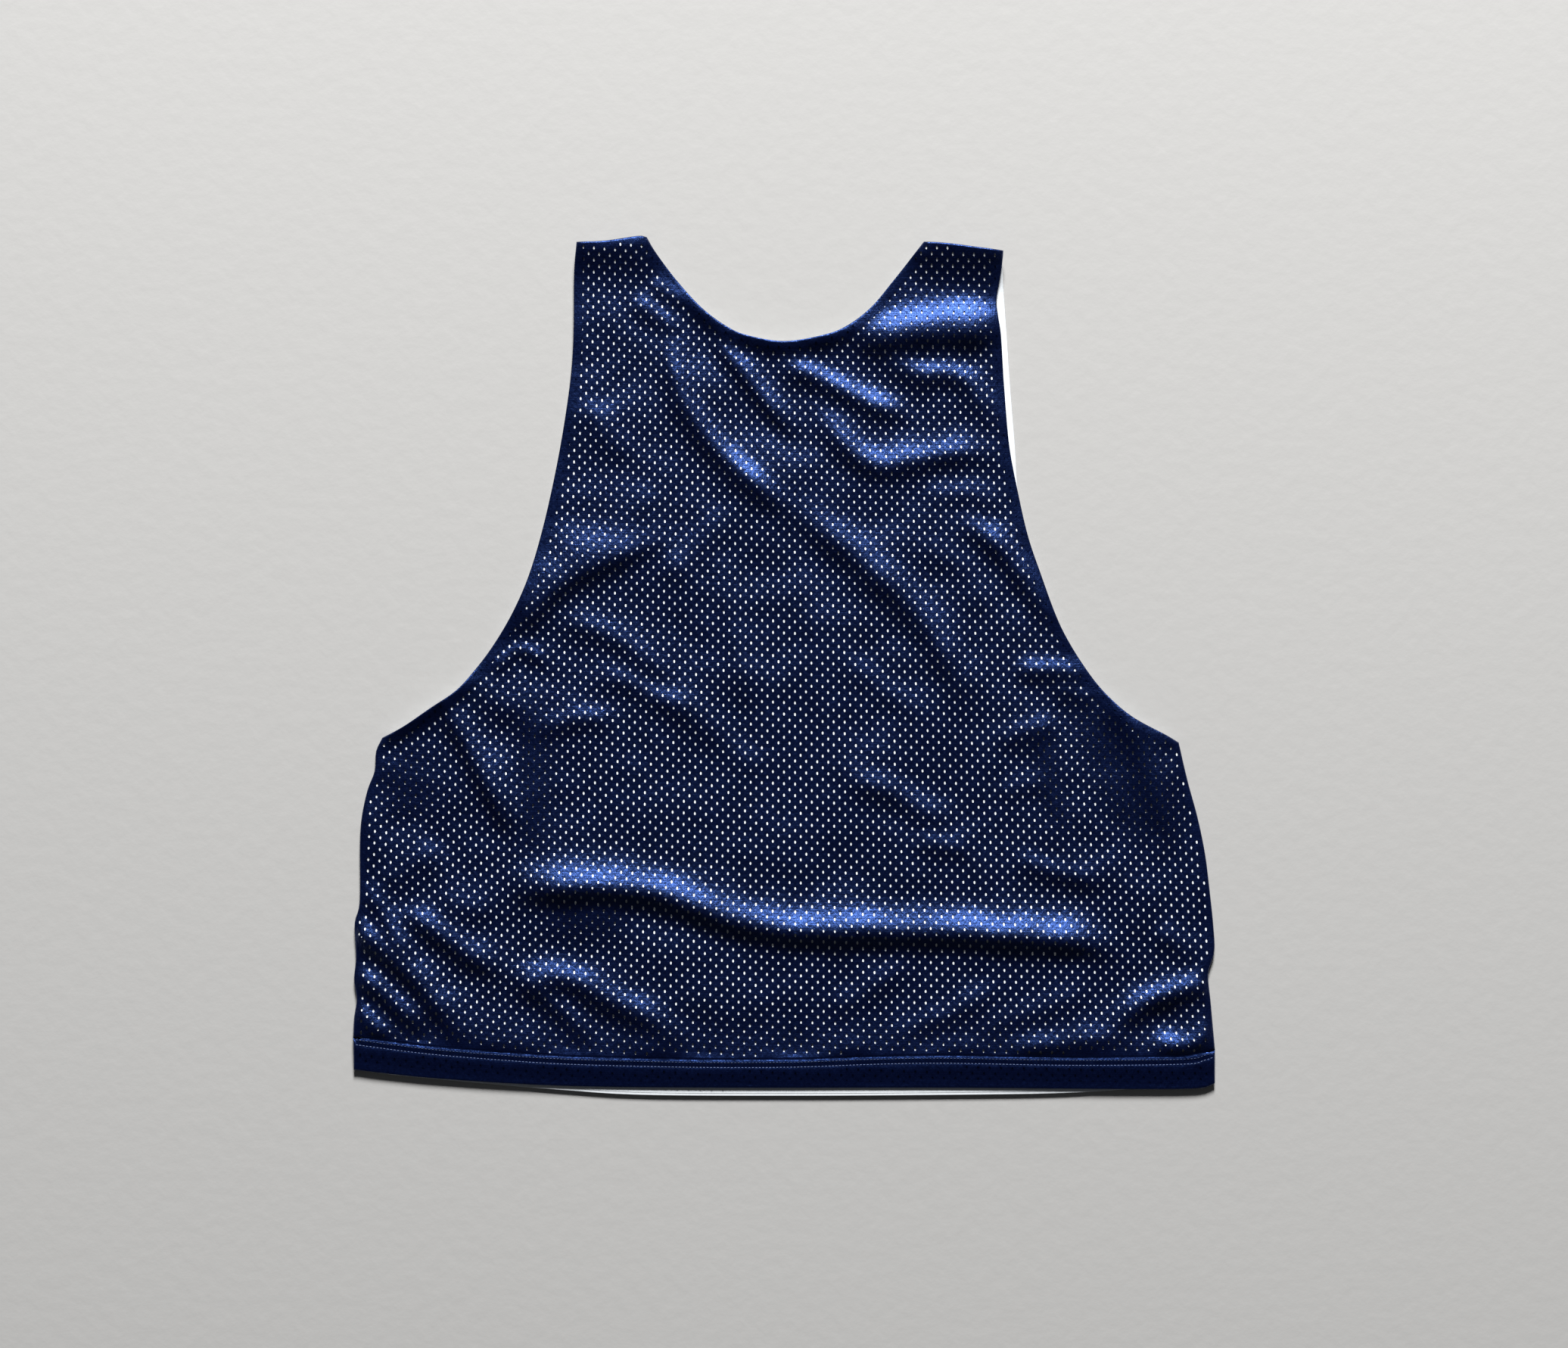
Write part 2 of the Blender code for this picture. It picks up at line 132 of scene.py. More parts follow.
# Folds of the back. Each path runs left to right, and its left-hand flank faces the neck.
# name, height, half width on the neck side, half width on the hem side, path
FOLDS = (
    ("waist roll", 8.0, 15.0, 9.0,
     ((-206, 146), (-186, 148), (-161, 149), (-129, 149), (-96, 146), (-74, 139), (-47, 129), (-20, 122),
      (13, 118), (62, 118), (117, 117), (171, 114), (215, 110), (246, 98))),
    ("left hem sweep", 6.4, 12.0, 8.0,
     ((-326, 132), (-306, 118), (-286, 103), (-266, 85), (-248, 64), (-236, 46), (-226, 32))),
    ("left side crease", 4.2, 9.0, 7.0, ((-304, 156), (-290, 134), (-276, 112), (-262, 96))),
    ("hem fan inner", 4.8, 11.0, 8.0, ((-284, 140), (-262, 126), (-240, 110), (-218, 96), (-196, 84))),
    ("hem fan outer", 5.0, 12.0, 10.0,
     ((-204, 92), (-180, 86), (-153, 82), (-130, 72), (-106, 60), (-84, 48), (-66, 38))),
    ("hem fan branch", 3.4, 8.0, 8.0, ((-196, 86), (-176, 74), (-158, 60), (-144, 46), (-136, 34))),
    ("corner left upper", 5.4, 11.0, 7.0, ((-314, 92), (-297, 80), (-282, 68), (-268, 56), (-255, 42))),
    ("corner left lower", 3.0, 7.0, 7.0, ((-318, 72), (-302, 58), (-292, 48), (-282, 38))),
    ("left soft", 2.4, 12.0, 12.0, ((-300, 160), (-280, 158), (-262, 170), (-246, 186))),
    ("left soft low", 2.0, 10.0, 9.0, ((-252, 140), (-228, 136), (-204, 128))),
    ("left underarm crease", 4.8, 13.0, 7.0,
     ((-248, 298), (-239, 274), (-226, 248), (-213, 224), (-200, 198), (-190, 176))),
    ("left underarm patch", 1.8, 14.0, 9.0, ((-232, 292), (-210, 284), (-190, 270))),
    ("left armhole rim", 4.4, 6.0, 7.0,
     ((-300, 252), (-273, 268), (-254, 280), (-235, 293), (-218, 312))),
    ("underarm hook", 2.6, 5.0, 6.0, ((-212, 300), (-203, 312), (-190, 321), (-177, 315), (-170, 306))),
    ("left column", 1.6, 14.0, 8.0, ((-186, 300), (-182, 250), (-181, 205), (-180, 165))),
    ("left chest", 5.6, 24.0, 9.0,
     ((-205, 330), (-184, 346), (-166, 364), (-146, 377), (-120, 388), (-98, 397), (-75, 402))),
    ("chest hollow", 2.0, 10.0, 12.0, ((-92, 372), (-70, 386), (-56, 406), (-50, 428))),
    ("left soft upper", 2.2, 9.0, 8.0, ((-172, 345), (-145, 338), (-118, 326), (-94, 311), (-72, 296))),
    ("left soft middle", 2.0, 8.0, 8.0, ((-140, 305), (-115, 298), (-90, 286), (-64, 276))),
    ("left soft lower", 2.4, 8.0, 8.0, ((-180, 262), (-160, 268), (-140, 272), (-118, 268))),
    ("left soft long", 1.4, 10.0, 10.0, ((-100, 300), (-60, 270), (-30, 245), (-5, 225))),
    ("centre left", 1.3, 8.0, 8.0, ((-50, 400), (-40, 350), (-28, 300), (-20, 260))),
    ("centre right", 1.2, 9.0, 9.0, ((10, 390), (20, 350), (24, 300), (22, 262))),
    ("right middle long", 1.6, 10.0, 10.0, ((30, 330), (60, 300), (85, 282), (120, 262))),
    ("neck to waist upper", 5.6, 9.0, 10.0,
     ((-84, 560), (-80, 530), (-74, 505), (-62, 482), (-45, 461), (-25, 443), (-5, 428), (15, 415))),
    ("neck to waist lower", 4.8, 14.0, 11.0,
     ((0, 424), (26, 407), (50, 388), (74, 368), (96, 346), (114, 320), (128, 290), (136, 270))),
    ("neck to waist swell", 1.8, 22.0, 20.0, ((-40, 475), (-10, 450), (25, 425), (60, 400))),
    ("neck left", 4.4, 9.0, 6.0, ((-54, 552), (-44, 538), (-30, 520), (-16, 502), (0, 484), (14, 474))),
    ("neck right", 4.2, 9.0, 8.0, ((-12, 530), (10, 522), (32, 512), (56, 500), (84, 490), (98, 488))),
    ("neck rim", 4.8, 8.0, 8.0,
     ((-84, 588), (-58, 564), (-41, 552), (-20, 545), (0, 542), (28, 546), (45, 552), (66, 572))),
    ("chest right", 4.6, 11.0, 9.0,
     ((14, 500), (28, 486), (42, 470), (56, 457), (72, 452), (95, 456), (118, 460), (140, 461),
      (160, 456))),
    ("strap arch", 4.0, 9.0, 9.0,
     ((62, 536), (80, 526), (100, 519), (118, 518), (132, 512), (144, 494), (152, 470))),
    ("right strap", 8.5, 17.0, 11.0,
     ((40, 538), (58, 543), (86, 546), (110, 548), (134, 549), (172, 550))),
    ("right strap upper", 1.6, 12.0, 10.0, ((70, 552), (112, 560), (150, 561), (172, 561))),
    ("left strap low", 2.4, 7.0, 8.0, ((-112, 574), (-92, 561), (-72, 550))),
    ("left strap high", 2.2, 6.0, 7.0, ((-98, 588), (-84, 578), (-70, 566))),
    ("left strap side", 2.0, 12.0, 10.0, ((-150, 500), (-137, 488), (-125, 470), (-110, 455))),
    ("left armhole swell", 1.6, 16.0, 12.0, ((-160, 440), (-140, 432), (-110, 425), (-80, 428))),
    ("right armhole", 4.2, 10.0, 8.0,
     ((122, 418), (140, 406), (156, 392), (170, 374), (184, 354), (200, 330))),
    ("right armhole inner", 2.0, 10.0, 9.0, ((98, 440), (116, 432), (136, 432), (156, 420))),
    ("right chest soft", 1.6, 12.0, 10.0, ((96, 400), (120, 385), (140, 364), (150, 340))),
    ("right armpit", 3.0, 8.0, 8.0, ((160, 306), (180, 306), (200, 306), (222, 298))),
    ("right armpit low", 2.0, 7.0, 8.0, ((190, 292), (206, 290), (226, 284))),
    ("right underarm", 5.0, 12.0, 14.0,
     ((222, 306), (238, 282), (254, 256), (266, 226), (274, 196), (276, 168))),
    ("right corner patch", 2.0, 12.0, 10.0, ((240, 268), (262, 262), (284, 256))),
    ("right middle", 2.4, 9.0, 9.0, ((150, 250), (168, 260), (184, 266), (196, 274))),
    ("right middle low", 1.6, 9.0, 8.0, ((150, 215), (170, 222), (196, 224))),
    ("waist right upper", 2.6, 11.0, 9.0, ((36, 226), (60, 224), (84, 214), (106, 202), (126, 192))),
    ("waist right lower", 2.2, 9.0, 8.0, ((90, 186), (115, 180), (140, 176))),
    ("waist right", 2.6, 8.0, 8.0, ((160, 176), (180, 166), (205, 158), (236, 154))),
    ("right side low", 2.0, 9.0, 9.0, ((262, 120), (280, 110), (300, 96))),
    ("right hem corner", 5.4, 10.0, 8.0,
     ((232, 44), (246, 56), (258, 66), (274, 72), (300, 80), (316, 88))),
    ("right hem rim", 2.6, 7.0, 6.0, ((262, 40), (284, 36), (300, 42), (306, 60))),
    ("right hem", 2.0, 10.0, 6.0, ((150, 36), (180, 36), (210, 40), (236, 42), (262, 40))),
    ("right hem pocket", -1.6, 12.0, 10.0, ((262, 54), (284, 54))),
    ("hem middle fan", 1.8, 9.0, 9.0, ((28, 58), (50, 70), (72, 84), (92, 100))),
    ("hem middle fan low", 1.8, 9.0, 8.0, ((64, 42), (95, 50), (125, 62), (150, 78), (165, 92))),
    ("hem right fan", 1.8, 10.0, 9.0, ((130, 46), (165, 56), (200, 68), (230, 84))),
    ("waist left gap", 0.9, 14.0, 14.0, ((-180, 128), (-140, 130), (-105, 124))),
    ("left side gap", 0.9, 22.0, 22.0, ((-286, 250), (-270, 222), (-262, 196))),
    ("right side gap", 0.8, 13.0, 13.0, ((206, 290), (228, 250), (246, 208), (256, 170))),
    ("right column gap", 1.0, 8.0, 8.0, ((186, 280), (190, 230), (204, 180))),
    ("right strap gap", 0.6, 12.0, 14.0, ((64, 562), (110, 570), (152, 570))),
)
# Share of a fold's height that the white layer below rises too, as a rule and by name
FOLLOW = 0.93
FOLLOW_OF = {
    "waist roll": 0.95, "left armhole rim": 0.95, "left armhole swell": 0.95, "neck rim": 0.95,
    "neck to waist swell": 0.95, "right underarm": 0.8, "right hem pocket": 1.0, "left column": 0.3,
    "waist left gap": 0.0, "left side gap": 0.0, "right side gap": 0.0, "right column gap": 0.0,
    "right strap gap": 0.0,
}
# Places where all layers rise together, in the same columns as the folds
LIFTS = (
    ("right shoulder", 10.5, 30.0, 19.0, ((84, 617), (118, 612), (140, 610), (172, 606))),
    ("left shoulder", 7.5, 30.0, 20.0, ((-166, 614), (-126, 615), (-84, 618))),
)
# A fold fades over this share of its length at each end, or over this length if less
FOLD_TAPER = 0.3
LONGEST_TAPER = 48.0
FOLD_END_SHARE = 0.04
FOLD_SHARPNESS = 1.9

# Layers from the surface up, in millimetres and degrees. The side says which way a
# turned edge rolls, and meets is the height where side and shoulder seams close. Closed
# and bagged are how far in those seams and the armholes lie. Phase and turn place the
# lattice, and ply shift moves it on the hem's inner ply.
LAYERS = {
    "front_navy": {"level": 0.45, "side": 1, "meets": 2.2, "closed": 0.0, "bagged": 0.7,
                   "hem": 0.3, "phase": (1.3, 2.9), "turn": -0.9, "ply shift": 2.9},
    "front_white": {"level": 1.7, "side": 1, "meets": 2.3, "closed": 1.4, "bagged": 0.2,
                    "hem": 0.6, "phase": (1.9, 3.4), "turn": 2.1, "ply shift": 0.0},
    "back_white": {"level": 3.75, "side": -1, "meets": 2.8, "closed": 1.4, "bagged": 0.6,
                   "hem": 0.8, "phase": (3.9, 0.3), "turn": 0.45, "ply shift": 2.9},
    "back_navy": {"level": 4.2, "side": -1, "meets": 2.4, "closed": 0.0, "bagged": 0.0,
                  "hem": 2.1, "phase": (0.0, 0.0), "turn": 0.0, "ply shift": 2.9},
}
# Shape across the navy hem: (distance below the seam line, height over the flat level)
HEM_SHAPE = (
    (-60.0, 0.0), (-32.0, 0.1), (-18.0, 0.6), (-8.0, 1.4), (-2.0, 1.7), (-0.6, 1.45),
    (0.3, 1.6), (1.4, 1.98), (2.4, 2.02), (3.8, 1.9), (5.0, 1.68), (5.6, 1.72),
    (6.8, 2.1), (10.0, 2.1), (15.0, 1.8), (19.0, 1.5), (24.0, 1.2), (40.0, 1.0),
)
HEM_TOP = 2.1
HALF_HEM = 310.0
# Height a hem is cut to, and how far apart its two plies lie, down and in
HEM_PLY = 0.7
PLY_INSET = 0.4
# Share by which the hem flattens to its lower edge, and where: (from, over)
HEM_PRESS = 0.25
HEM_PRESS_RUN = (4.0, 16.0)
# The lower layers' cloth rises to their hems over this distance
HEM_RISE_RUN = 28.0

# Puckers of the cloth just above the navy hem
PUCKER = 0.2
PUCKER_PITCH = 9.0
PUCKER_PLACE = -3.0
PUCKER_RUN = 4.0
PUCKER_WANDER = 31.0

# Stitch rows below the seam line, and how they are laid
STITCH_ROWS = (1.7, 5.3)
STITCH_PATH_STEP = 1.5
STITCH_END_NAVY = 1.5
STITCH_END_WHITE = 3.0
STITCH_SUNK = 0.3

# How an edge is finished, row by row from the flat cloth outwards
TURN_IN = (1.6, 1.1, 0.6, 0.25, 0.05, 0.0, 0.4, 6.3)
TURN_DROP = (0.0, 0.04, 0.15, 0.38, 0.72, 1.0, 1.06, 1.0)
PANEL_SEAM_IN = (2.0, 1.7, 1.4, 1.0, 0.6, 0.3, 0.0, 0.4)
PANEL_SEAM_DROP = (0.0, 0.0, 0.0, 0.0, 0.0, 0.0, 0.0, 0.5)
HEM_SEAM_IN = (6.8, 5.9, 5.0, 3.8, 2.7, 1.6, 0.8, 0.0)
HEM_SEAM_DROP = (0.0,) * 8
SEAM_RAMP = 5.0
BAGGED_DROP = 0.5
SEAM_EDGE_DROP = -0.6
CLOSING_RUN = 14.0
SETTLE_RUN = 6.0

# The turned-in allowance that shows as a ridge round the navy's armholes and neck
TURNING_RAISE = 0.45
TURNING_WIDTH = 6.8
TURNING_BLUR = 3.0

# Small unevenness: the front, under the rest, has a share of it, and small dents have
# a share of the height and the size of the large ones
FRONT_CALM = 6
SMALL_DENTS = 0.4
SMALL_DENT_SIZE = 0.42
LEAST_GAP = 0.35

# Spacing of points along edges, along curves and on the height map
EDGE_STEP = 3.6
FINE_STEP = 2.0
MAP_STEP = 2.0
MAP_MARGIN = 12.0

# Holes: how far their rims sink, the cloth left beside them, and what counts as on the
# lattice or inside a hole
HOLE_DIMPLE = 0.12
HOLE_EDGE_ROOM = 0.15
CELL_EDGE_ROOM = 0.7
LATTICE_SLACK = 0.02
HOLE_CORE = 0.8

# In metres: points closer than this are one, and the pitches of the knit
WELD = 0.00005
WALE_PITCH = 0.00079
COURSE_PITCH = 0.00096

# Stage: the camera's aim in the tables' millimetres, the rest in metres
VIEW_CENTRE_UP = 303.8
KEY_AWAY = 6.0
KEY_ASIDE = 0.2
KEY_WIDTH = 1.8
FLOOR_REACH = 6.0
SKY = (0.9, 0.94, 1.0, 1.0)


def smooth(value):
    """0 below 0, 1 above 1, and an easy S between."""
    held = np.clip(value, 0.0, 1.0)
    return held * held * (3 - 2 * held)


def curve_through(points, step):
    """Points about one step apart on a smooth curve through the given ones."""
    given = np.array(points, float)
    held = np.vstack([2 * given[0] - given[1], given, 2 * given[-1] - given[-2]])
    fine = []
    for i in range(len(given) - 1):
        a, b, c, d = held[i : i + 4]
        t = np.linspace(0, 1, 24, endpoint=False)[:, None]
        fine.append(
            0.5 * (2 * b + (c - a) * t + (2 * a - 5 * b + 4 * c - d) * t**2
                   + (3 * b - a - 3 * c + d) * t**3)
        )
    fine = np.vstack([*fine, given[-1:]])
    along = np.r_[0, np.cumsum(np.linalg.norm(np.diff(fine, axis=0), axis=1))]
    wanted = np.linspace(0, along[-1], max(1, round(along[-1] / step)) + 1)
    return np.column_stack([np.interp(wanted, along, fine[:, k]) for k in (0, 1)])


def distance_to(line, points):
    """Distance from each point to a line given as closely spaced points."""
    found = [
        np.linalg.norm(part[:, None] - line[None], axis=2).min(axis=1)
        for part in np.array_split(points, max(1, len(points) // 4000))
    ]
    return np.concatenate(found)


def inside(loop, points):
    """Which points lie inside a closed loop."""
    ahead = np.roll(loop, -1, axis=0)
    rise = np.where(ahead[:, 1] == loop[:, 1], 1e-9, ahead[:, 1] - loop[:, 1])
    found = []
    for part in np.array_split(points, max(1, len(points) // 4000)):
        up = part[:, None, 1]
        crossed = (loop[None, :, 1] > up) != (ahead[None, :, 1] > up)
        at = (ahead[:, 0] - loop[:, 0]) * (up - loop[:, 1]) / rise + loop[:, 0]
        found.append((crossed & (part[:, None, 0] < at)).sum(axis=1) % 2 == 1)
    return np.concatenate(found)


def moved_in(loop, amount):
    """A counter-clockwise loop with each point moved inside by its own amount."""
    ahead = np.roll(loop, -1, axis=0) - np.roll(loop, 1, axis=0)
    normal = np.column_stack([-ahead[:, 1], ahead[:, 0]])
    normal /= np.maximum(np.linalg.norm(normal, axis=1), 1e-9)[:, None]
    return loop + normal * np.broadcast_to(amount, len(loop))[:, None]


def front_neckline():
    """The back's neckline, scooped deeper in the middle."""
    deepest = min(up for _, up in NECKLINE)
    ends = np.interp([p[0] for p in NECKLINE], *zip(NECKLINE[0], NECKLINE[-1]))
    return tuple(
        (across, up - FRONT_NECK_DROP * smooth((end - up) / (end - deepest)))
        for (across, up), end in zip(NECKLINE, ends)
    )


@functools.cache
def closed_edges():
    """Side and shoulder seams, where the navy back meets the navy front."""
    return np.vstack([curve_through(edge, FINE_STEP)
                      for edge in (LEFT_SIDE, LEFT_SHOULDER, RIGHT_SHOULDER, RIGHT_SIDE)])


@functools.cache
def bagged_edges(side):
    """Armholes and neckline, where the navy and the white of one side are sewn."""
    back = side == "back"
    top = RIGHT_ARMHOLE_TOP_BACK if back else RIGHT_ARMHOLE_TOP_FRONT
    neck = NECKLINE if back else front_neckline()
    return np.vstack([curve_through(edge, FINE_STEP)
                      for edge in (LEFT_ARMHOLE, neck, top + RIGHT_ARMHOLE)])


def below_seam(points):
    """How far each point lies below the hem's upper stitch line."""
    seam = np.array(HEM_SEAM[::-1])
    return np.interp(points[:, 0], seam[:, 0], seam[:, 1]) - points[:, 1]


def panel_outline(side):
    """Closed outline of a panel, and which of its points lie on the hem seam."""
    back = side == "back"
    edges = (
        LEFT_SIDE, LEFT_ARMHOLE, LEFT_SHOULDER, NECKLINE if back else front_neckline(),
        RIGHT_SHOULDER,
        (RIGHT_ARMHOLE_TOP_BACK if back else RIGHT_ARMHOLE_TOP_FRONT) + RIGHT_ARMHOLE,
        RIGHT_SIDE, HEM_SEAM,
    )
    drawn = [curve_through(edge, EDGE_STEP)[:-1] for edge in edges]
    on_seam = np.concatenate([np.full(len(d), d is drawn[-1]) for d in drawn])
    return np.vstack(drawn)[::-1], on_seam[::-1]


def hem_outline(edge):
    """Closed outline of a hem band, and which of its points lie on the hem seam."""
    seam = curve_through(HEM_SEAM, EDGE_STEP)
    bottom = curve_through(edge, EDGE_STEP)
    right = curve_through((bottom[-1], seam[0]), EDGE_STEP)[1:-1]
    left = curve_through((seam[-1], bottom[0]), EDGE_STEP)[1:-1]
    on_seam = np.zeros(len(bottom) + len(right) + len(seam) + len(left), bool)
    start = len(bottom) + len(right)
    on_seam[start : start + len(seam)] = True
    return np.vstack([bottom, right, seam, left]), on_seam


def fold_profile(points, neck_side, hem_side, path):
    """A fold's height at each point, as a share of its crest."""
    line = curve_through(path, FINE_STEP)
    ahead = np.gradient(line, axis=0)
    left = np.column_stack([-ahead[:, 1], ahead[:, 0]])
    left /= np.linalg.norm(left, axis=1)[:, None]
    away = points[:, None] - line[None]
    nearest = np.linalg.norm(away, axis=2).argmin(axis=1)
    away = away[np.arange(len(points)), nearest]
    far = np.linalg.norm(away, axis=1)
    lean = (away * left[nearest]).sum(axis=1) / np.maximum(far, 1e-6)
    width = hem_side + (neck_side - hem_side) * (1 + lean) / 2
    place = nearest / (len(line) - 1)
    share = min(FOLD_TAPER, LONGEST_TAPER / (FINE_STEP * len(line)))
    taper = smooth(place / share) * smooth((1 - place) / share)
    crest = FOLD_END_SHARE + (1 - FOLD_END_SHARE) * taper
    return crest * np.exp(-((far / width) ** FOLD_SHARPNESS))


class HeightMap:
    """Heights over the whole garment on an even grid, read between its points."""

    def __init__(self):
        low = (CAD_BOX[0].x / MM + ORIGIN[0] - MAP_MARGIN, CAD_BOX[0].y / MM + ORIGIN[1] - MAP_MARGIN)
        high = (CAD_BOX[1].x / MM + ORIGIN[0] + MAP_MARGIN, CAD_BOX[1].y / MM + ORIGIN[1] + MAP_MARGIN)
        self.across = np.arange(low[0], high[0] + MAP_STEP, MAP_STEP)
        self.up = np.arange(low[1], high[1] + MAP_STEP, MAP_STEP)
        self.points = np.stack(np.meshgrid(self.across, self.up), axis=-1).reshape(-1, 2)
        self.values = np.zeros(len(self.points))

    def add_fold(self, height, neck_side, hem_side, path):
        """Raises the map by one fold."""
        reach = 2.6 * max(neck_side, hem_side)
        low, high = np.min(path, axis=0) - reach, np.max(path, axis=0) + reach
        near = np.all((self.points > low) & (self.points < high), axis=1)
        self.values[near] += height * fold_profile(self.points[near], neck_side, hem_side, path)

    def distance(self, line, reach):
        """Distance from each map point to a line, as far as reach."""
        found = np.full((len(self.up), len(self.across)), float(reach))
        cells = int(reach / MAP_STEP) + 1
        for x, y in line:
            i = int((x - self.across[0]) / MAP_STEP)
            j = int((y - self.up[0]) / MAP_STEP)
            rows = slice(max(0, j - cells), j + cells + 2)
            columns = slice(max(0, i - cells), i + cells + 2)
            far = np.hypot(self.across[columns][None] - x, self.up[rows][:, None] - y)
            found[rows, columns] = np.minimum(found[rows, columns], far)
        return found.ravel()

    def at(self, points):
        """Heights at any points, between the map's own."""
        place = (points - [self.across[0], self.up[0]]) / MAP_STEP
        place = np.clip(place, 0, [len(self.across) - 1.001, len(self.up) - 1.001])
        cell = place.astype(int)
        x, y = (place - cell).T
        grid = self.values.reshape(len(self.up), len(self.across))
        i, j = cell.T
        return (
            grid[j, i] * (1 - x) * (1 - y) + grid[j, i + 1] * x * (1 - y)
            + grid[j + 1, i] * (1 - x) * y + grid[j + 1, i + 1] * x * y
        )


@functools.cache
def crumple(size, seed):
    """Even, soft unevenness between -1 and 1 over the map, about one size across."""
    return np.array([noise.noise((x / size, y / size, seed)) for x, y in HeightMap().points])


@functools.cache
def fold_map(layer):
    """Folds and small unevenness of a layer, settled where its edges are sewn."""
    heights = HeightMap()
    side, shade = layer.split("_")
    if side == "back":
        for name, height, neck_side, hem_side, path in FOLDS:
            share = 1.0 if shade == "navy" else FOLLOW_OF.get(name, FOLLOW)
            heights.add_fold(height * share, neck_side, hem_side, path)
    cloth = bpy.context.scene.jersey_cloth
    amount = cloth.crumple if side == "back" else cloth.crumple / FRONT_CALM
    heights.values += amount * crumple(cloth.crumple_size, 1.7)
    heights.values += amount * SMALL_DENTS * crumple(cloth.crumple_size * SMALL_DENT_SIZE, 5.1)
    settled = smooth(heights.distance(closed_edges(), SETTLE_RUN) / SETTLE_RUN)
    settled *= smooth(1.0 - (below_seam(heights.points) + SETTLE_RUN) / SETTLE_RUN)
    heights.values *= settled
    if layer == "back_navy":
        turning = heights.distance(bagged_edges(side), TURNING_WIDTH + TURNING_BLUR)
        past = (turning - TURNING_WIDTH + TURNING_BLUR / 2) / TURNING_BLUR
        heights.values += TURNING_RAISE * (1 - smooth(past))
    return heights


@functools.cache
def lift_map():
    """Rise of the whole garment."""
    heights = HeightMap()
    for _, height, neck_side, hem_side, path in LIFTS:
        heights.add_fold(height, neck_side, hem_side, path)
    return heights


def surface(layer, points):
    """Height of a layer's cloth over the table at each point."""
    made = LAYERS[layer]
    below = below_seam(points)
    if layer == "back_navy":
        shape = curve_through(HEM_SHAPE, 0.1)
        lift = np.interp(below, shape[:, 0], shape[:, 1]) * made["hem"] / HEM_TOP
        pucker = np.exp(-(((below - PUCKER_PLACE) / PUCKER_RUN) ** 2)) * PUCKER
        lift += pucker * np.sin(points[:, 0] * 2 * math.pi / PUCKER_PITCH
                                + 2.0 * np.sin(points[:, 0] / PUCKER_WANDER))
    else:
        lift = made["hem"] * smooth(1 + below / HEM_RISE_RUN)
    level = made["level"] + lift
    level *= 1 - HEM_PRESS * smooth((below - HEM_PRESS_RUN[0]) / HEM_PRESS_RUN[1])
    level += fold_map(layer).at(points) + lift_map().at(points)
    if layer == "back_navy":
        level = np.maximum(level, surface("back_white", points) + LEAST_GAP)
    return level


def row_fall(across):
    """How far a row of holes has fallen there since the middle."""
    table = np.array(ROW_SLOPE)
    fine = np.arange(table[0, 0] - 20, table[-1, 0] + 20, 1.0)
    slope = np.interp(fine, table[:, 0], table[:, 1])
    fall = np.cumsum(slope)
    return np.interp(across, fine, fall - np.interp(0.0, fine, fall))


def turned(points, degrees, centre):
    """Points turned about a centre."""
    angle = math.radians(degrees)
    matrix = np.array([[math.cos(angle), math.sin(angle)], [-math.sin(angle), math.cos(angle)]])
    return (points - centre) @ matrix + centre


def lattice_to_cloth(points, layer):
    """Where places on the even lattice lie on a layer's cloth."""
    made = LAYERS[layer]
    points = turned(points + made["phase"], made["turn"], ORIGIN)
    u, v = points.T
    across = u * (1 + COLUMN_FLARE * (COLUMNS_STRAIGHT_AT - v))
    return np.column_stack([across, v - row_fall(across)])


def cloth_to_lattice(points, layer):
    """The even lattice's places under points of a layer's cloth."""
    made = LAYERS[layer]
    across, up = points.T
    v = up + row_fall(across)
    u = across / (1 + COLUMN_FLARE * (COLUMNS_STRAIGHT_AT - v))
    return turned(np.column_stack([u, v]), -made["turn"], ORIGIN) - made["phase"]


# Geometry Nodes
class Tree:
    """A Geometry Nodes tree with named inputs, built one node at a time."""

    def __init__(self, name, inputs):
        self.group = bpy.data.node_groups.new(name, "GeometryNodeTree")
        shape = self.group.interface
        shape.new_socket("Geometry", in_out="INPUT", socket_type="NodeSocketGeometry")
        self.sockets = {
            label: shape.new_socket(label, in_out="INPUT", socket_type=kind).identifier
            for label, kind in inputs
        }
        shape.new_socket("Geometry", in_out="OUTPUT", socket_type="NodeSocketGeometry")
        self.given = self.group.nodes.new("NodeGroupInput").outputs
        self.result = self.group.nodes.new("NodeGroupOutput").inputs["Geometry"]

    def node(self, kind, values=(), **settings):
        made = self.group.nodes.new(kind)
        for key, value in settings.items():
            setattr(made, key, value)
        for key, value in dict(values).items():
            socket = next(s for s in made.inputs if key in (s.identifier, s.name) and s.enabled)
            if isinstance(value, bpy.types.NodeSocket):
                self.group.links.new(value, socket)
            elif isinstance(value, list):
                for link in value:
                    self.group.links.new(link, socket)
            else:
                socket.default_value = value
        return made

    def math(self, operation, a, b=0.0):
        return self.node("ShaderNodeMath", {"Value": a, "Value_001": b}, operation=operation).outputs[0]

    def vector(self, x=0.0, y=0.0, z=0.0):
        return self.node("ShaderNodeCombineXYZ", {"X": x, "Y": y, "Z": z}).outputs[0]

    def finish(self, geometry):
        """Ends the tree in Realize Instances, Merge by Distance and Set Material."""
        whole = self.node("GeometryNodeRealizeInstances", {"Geometry": geometry}).outputs[0]
        welded = self.node("GeometryNodeMergeByDistance",
                           {"Geometry": whole, "Distance": self.given["Weld"]}).outputs[0]
        painted = self.node("GeometryNodeSetMaterial",
                            {"Geometry": welded, "Material": self.given["Material"]}).outputs[0]
        self.group.links.new(painted, self.result)


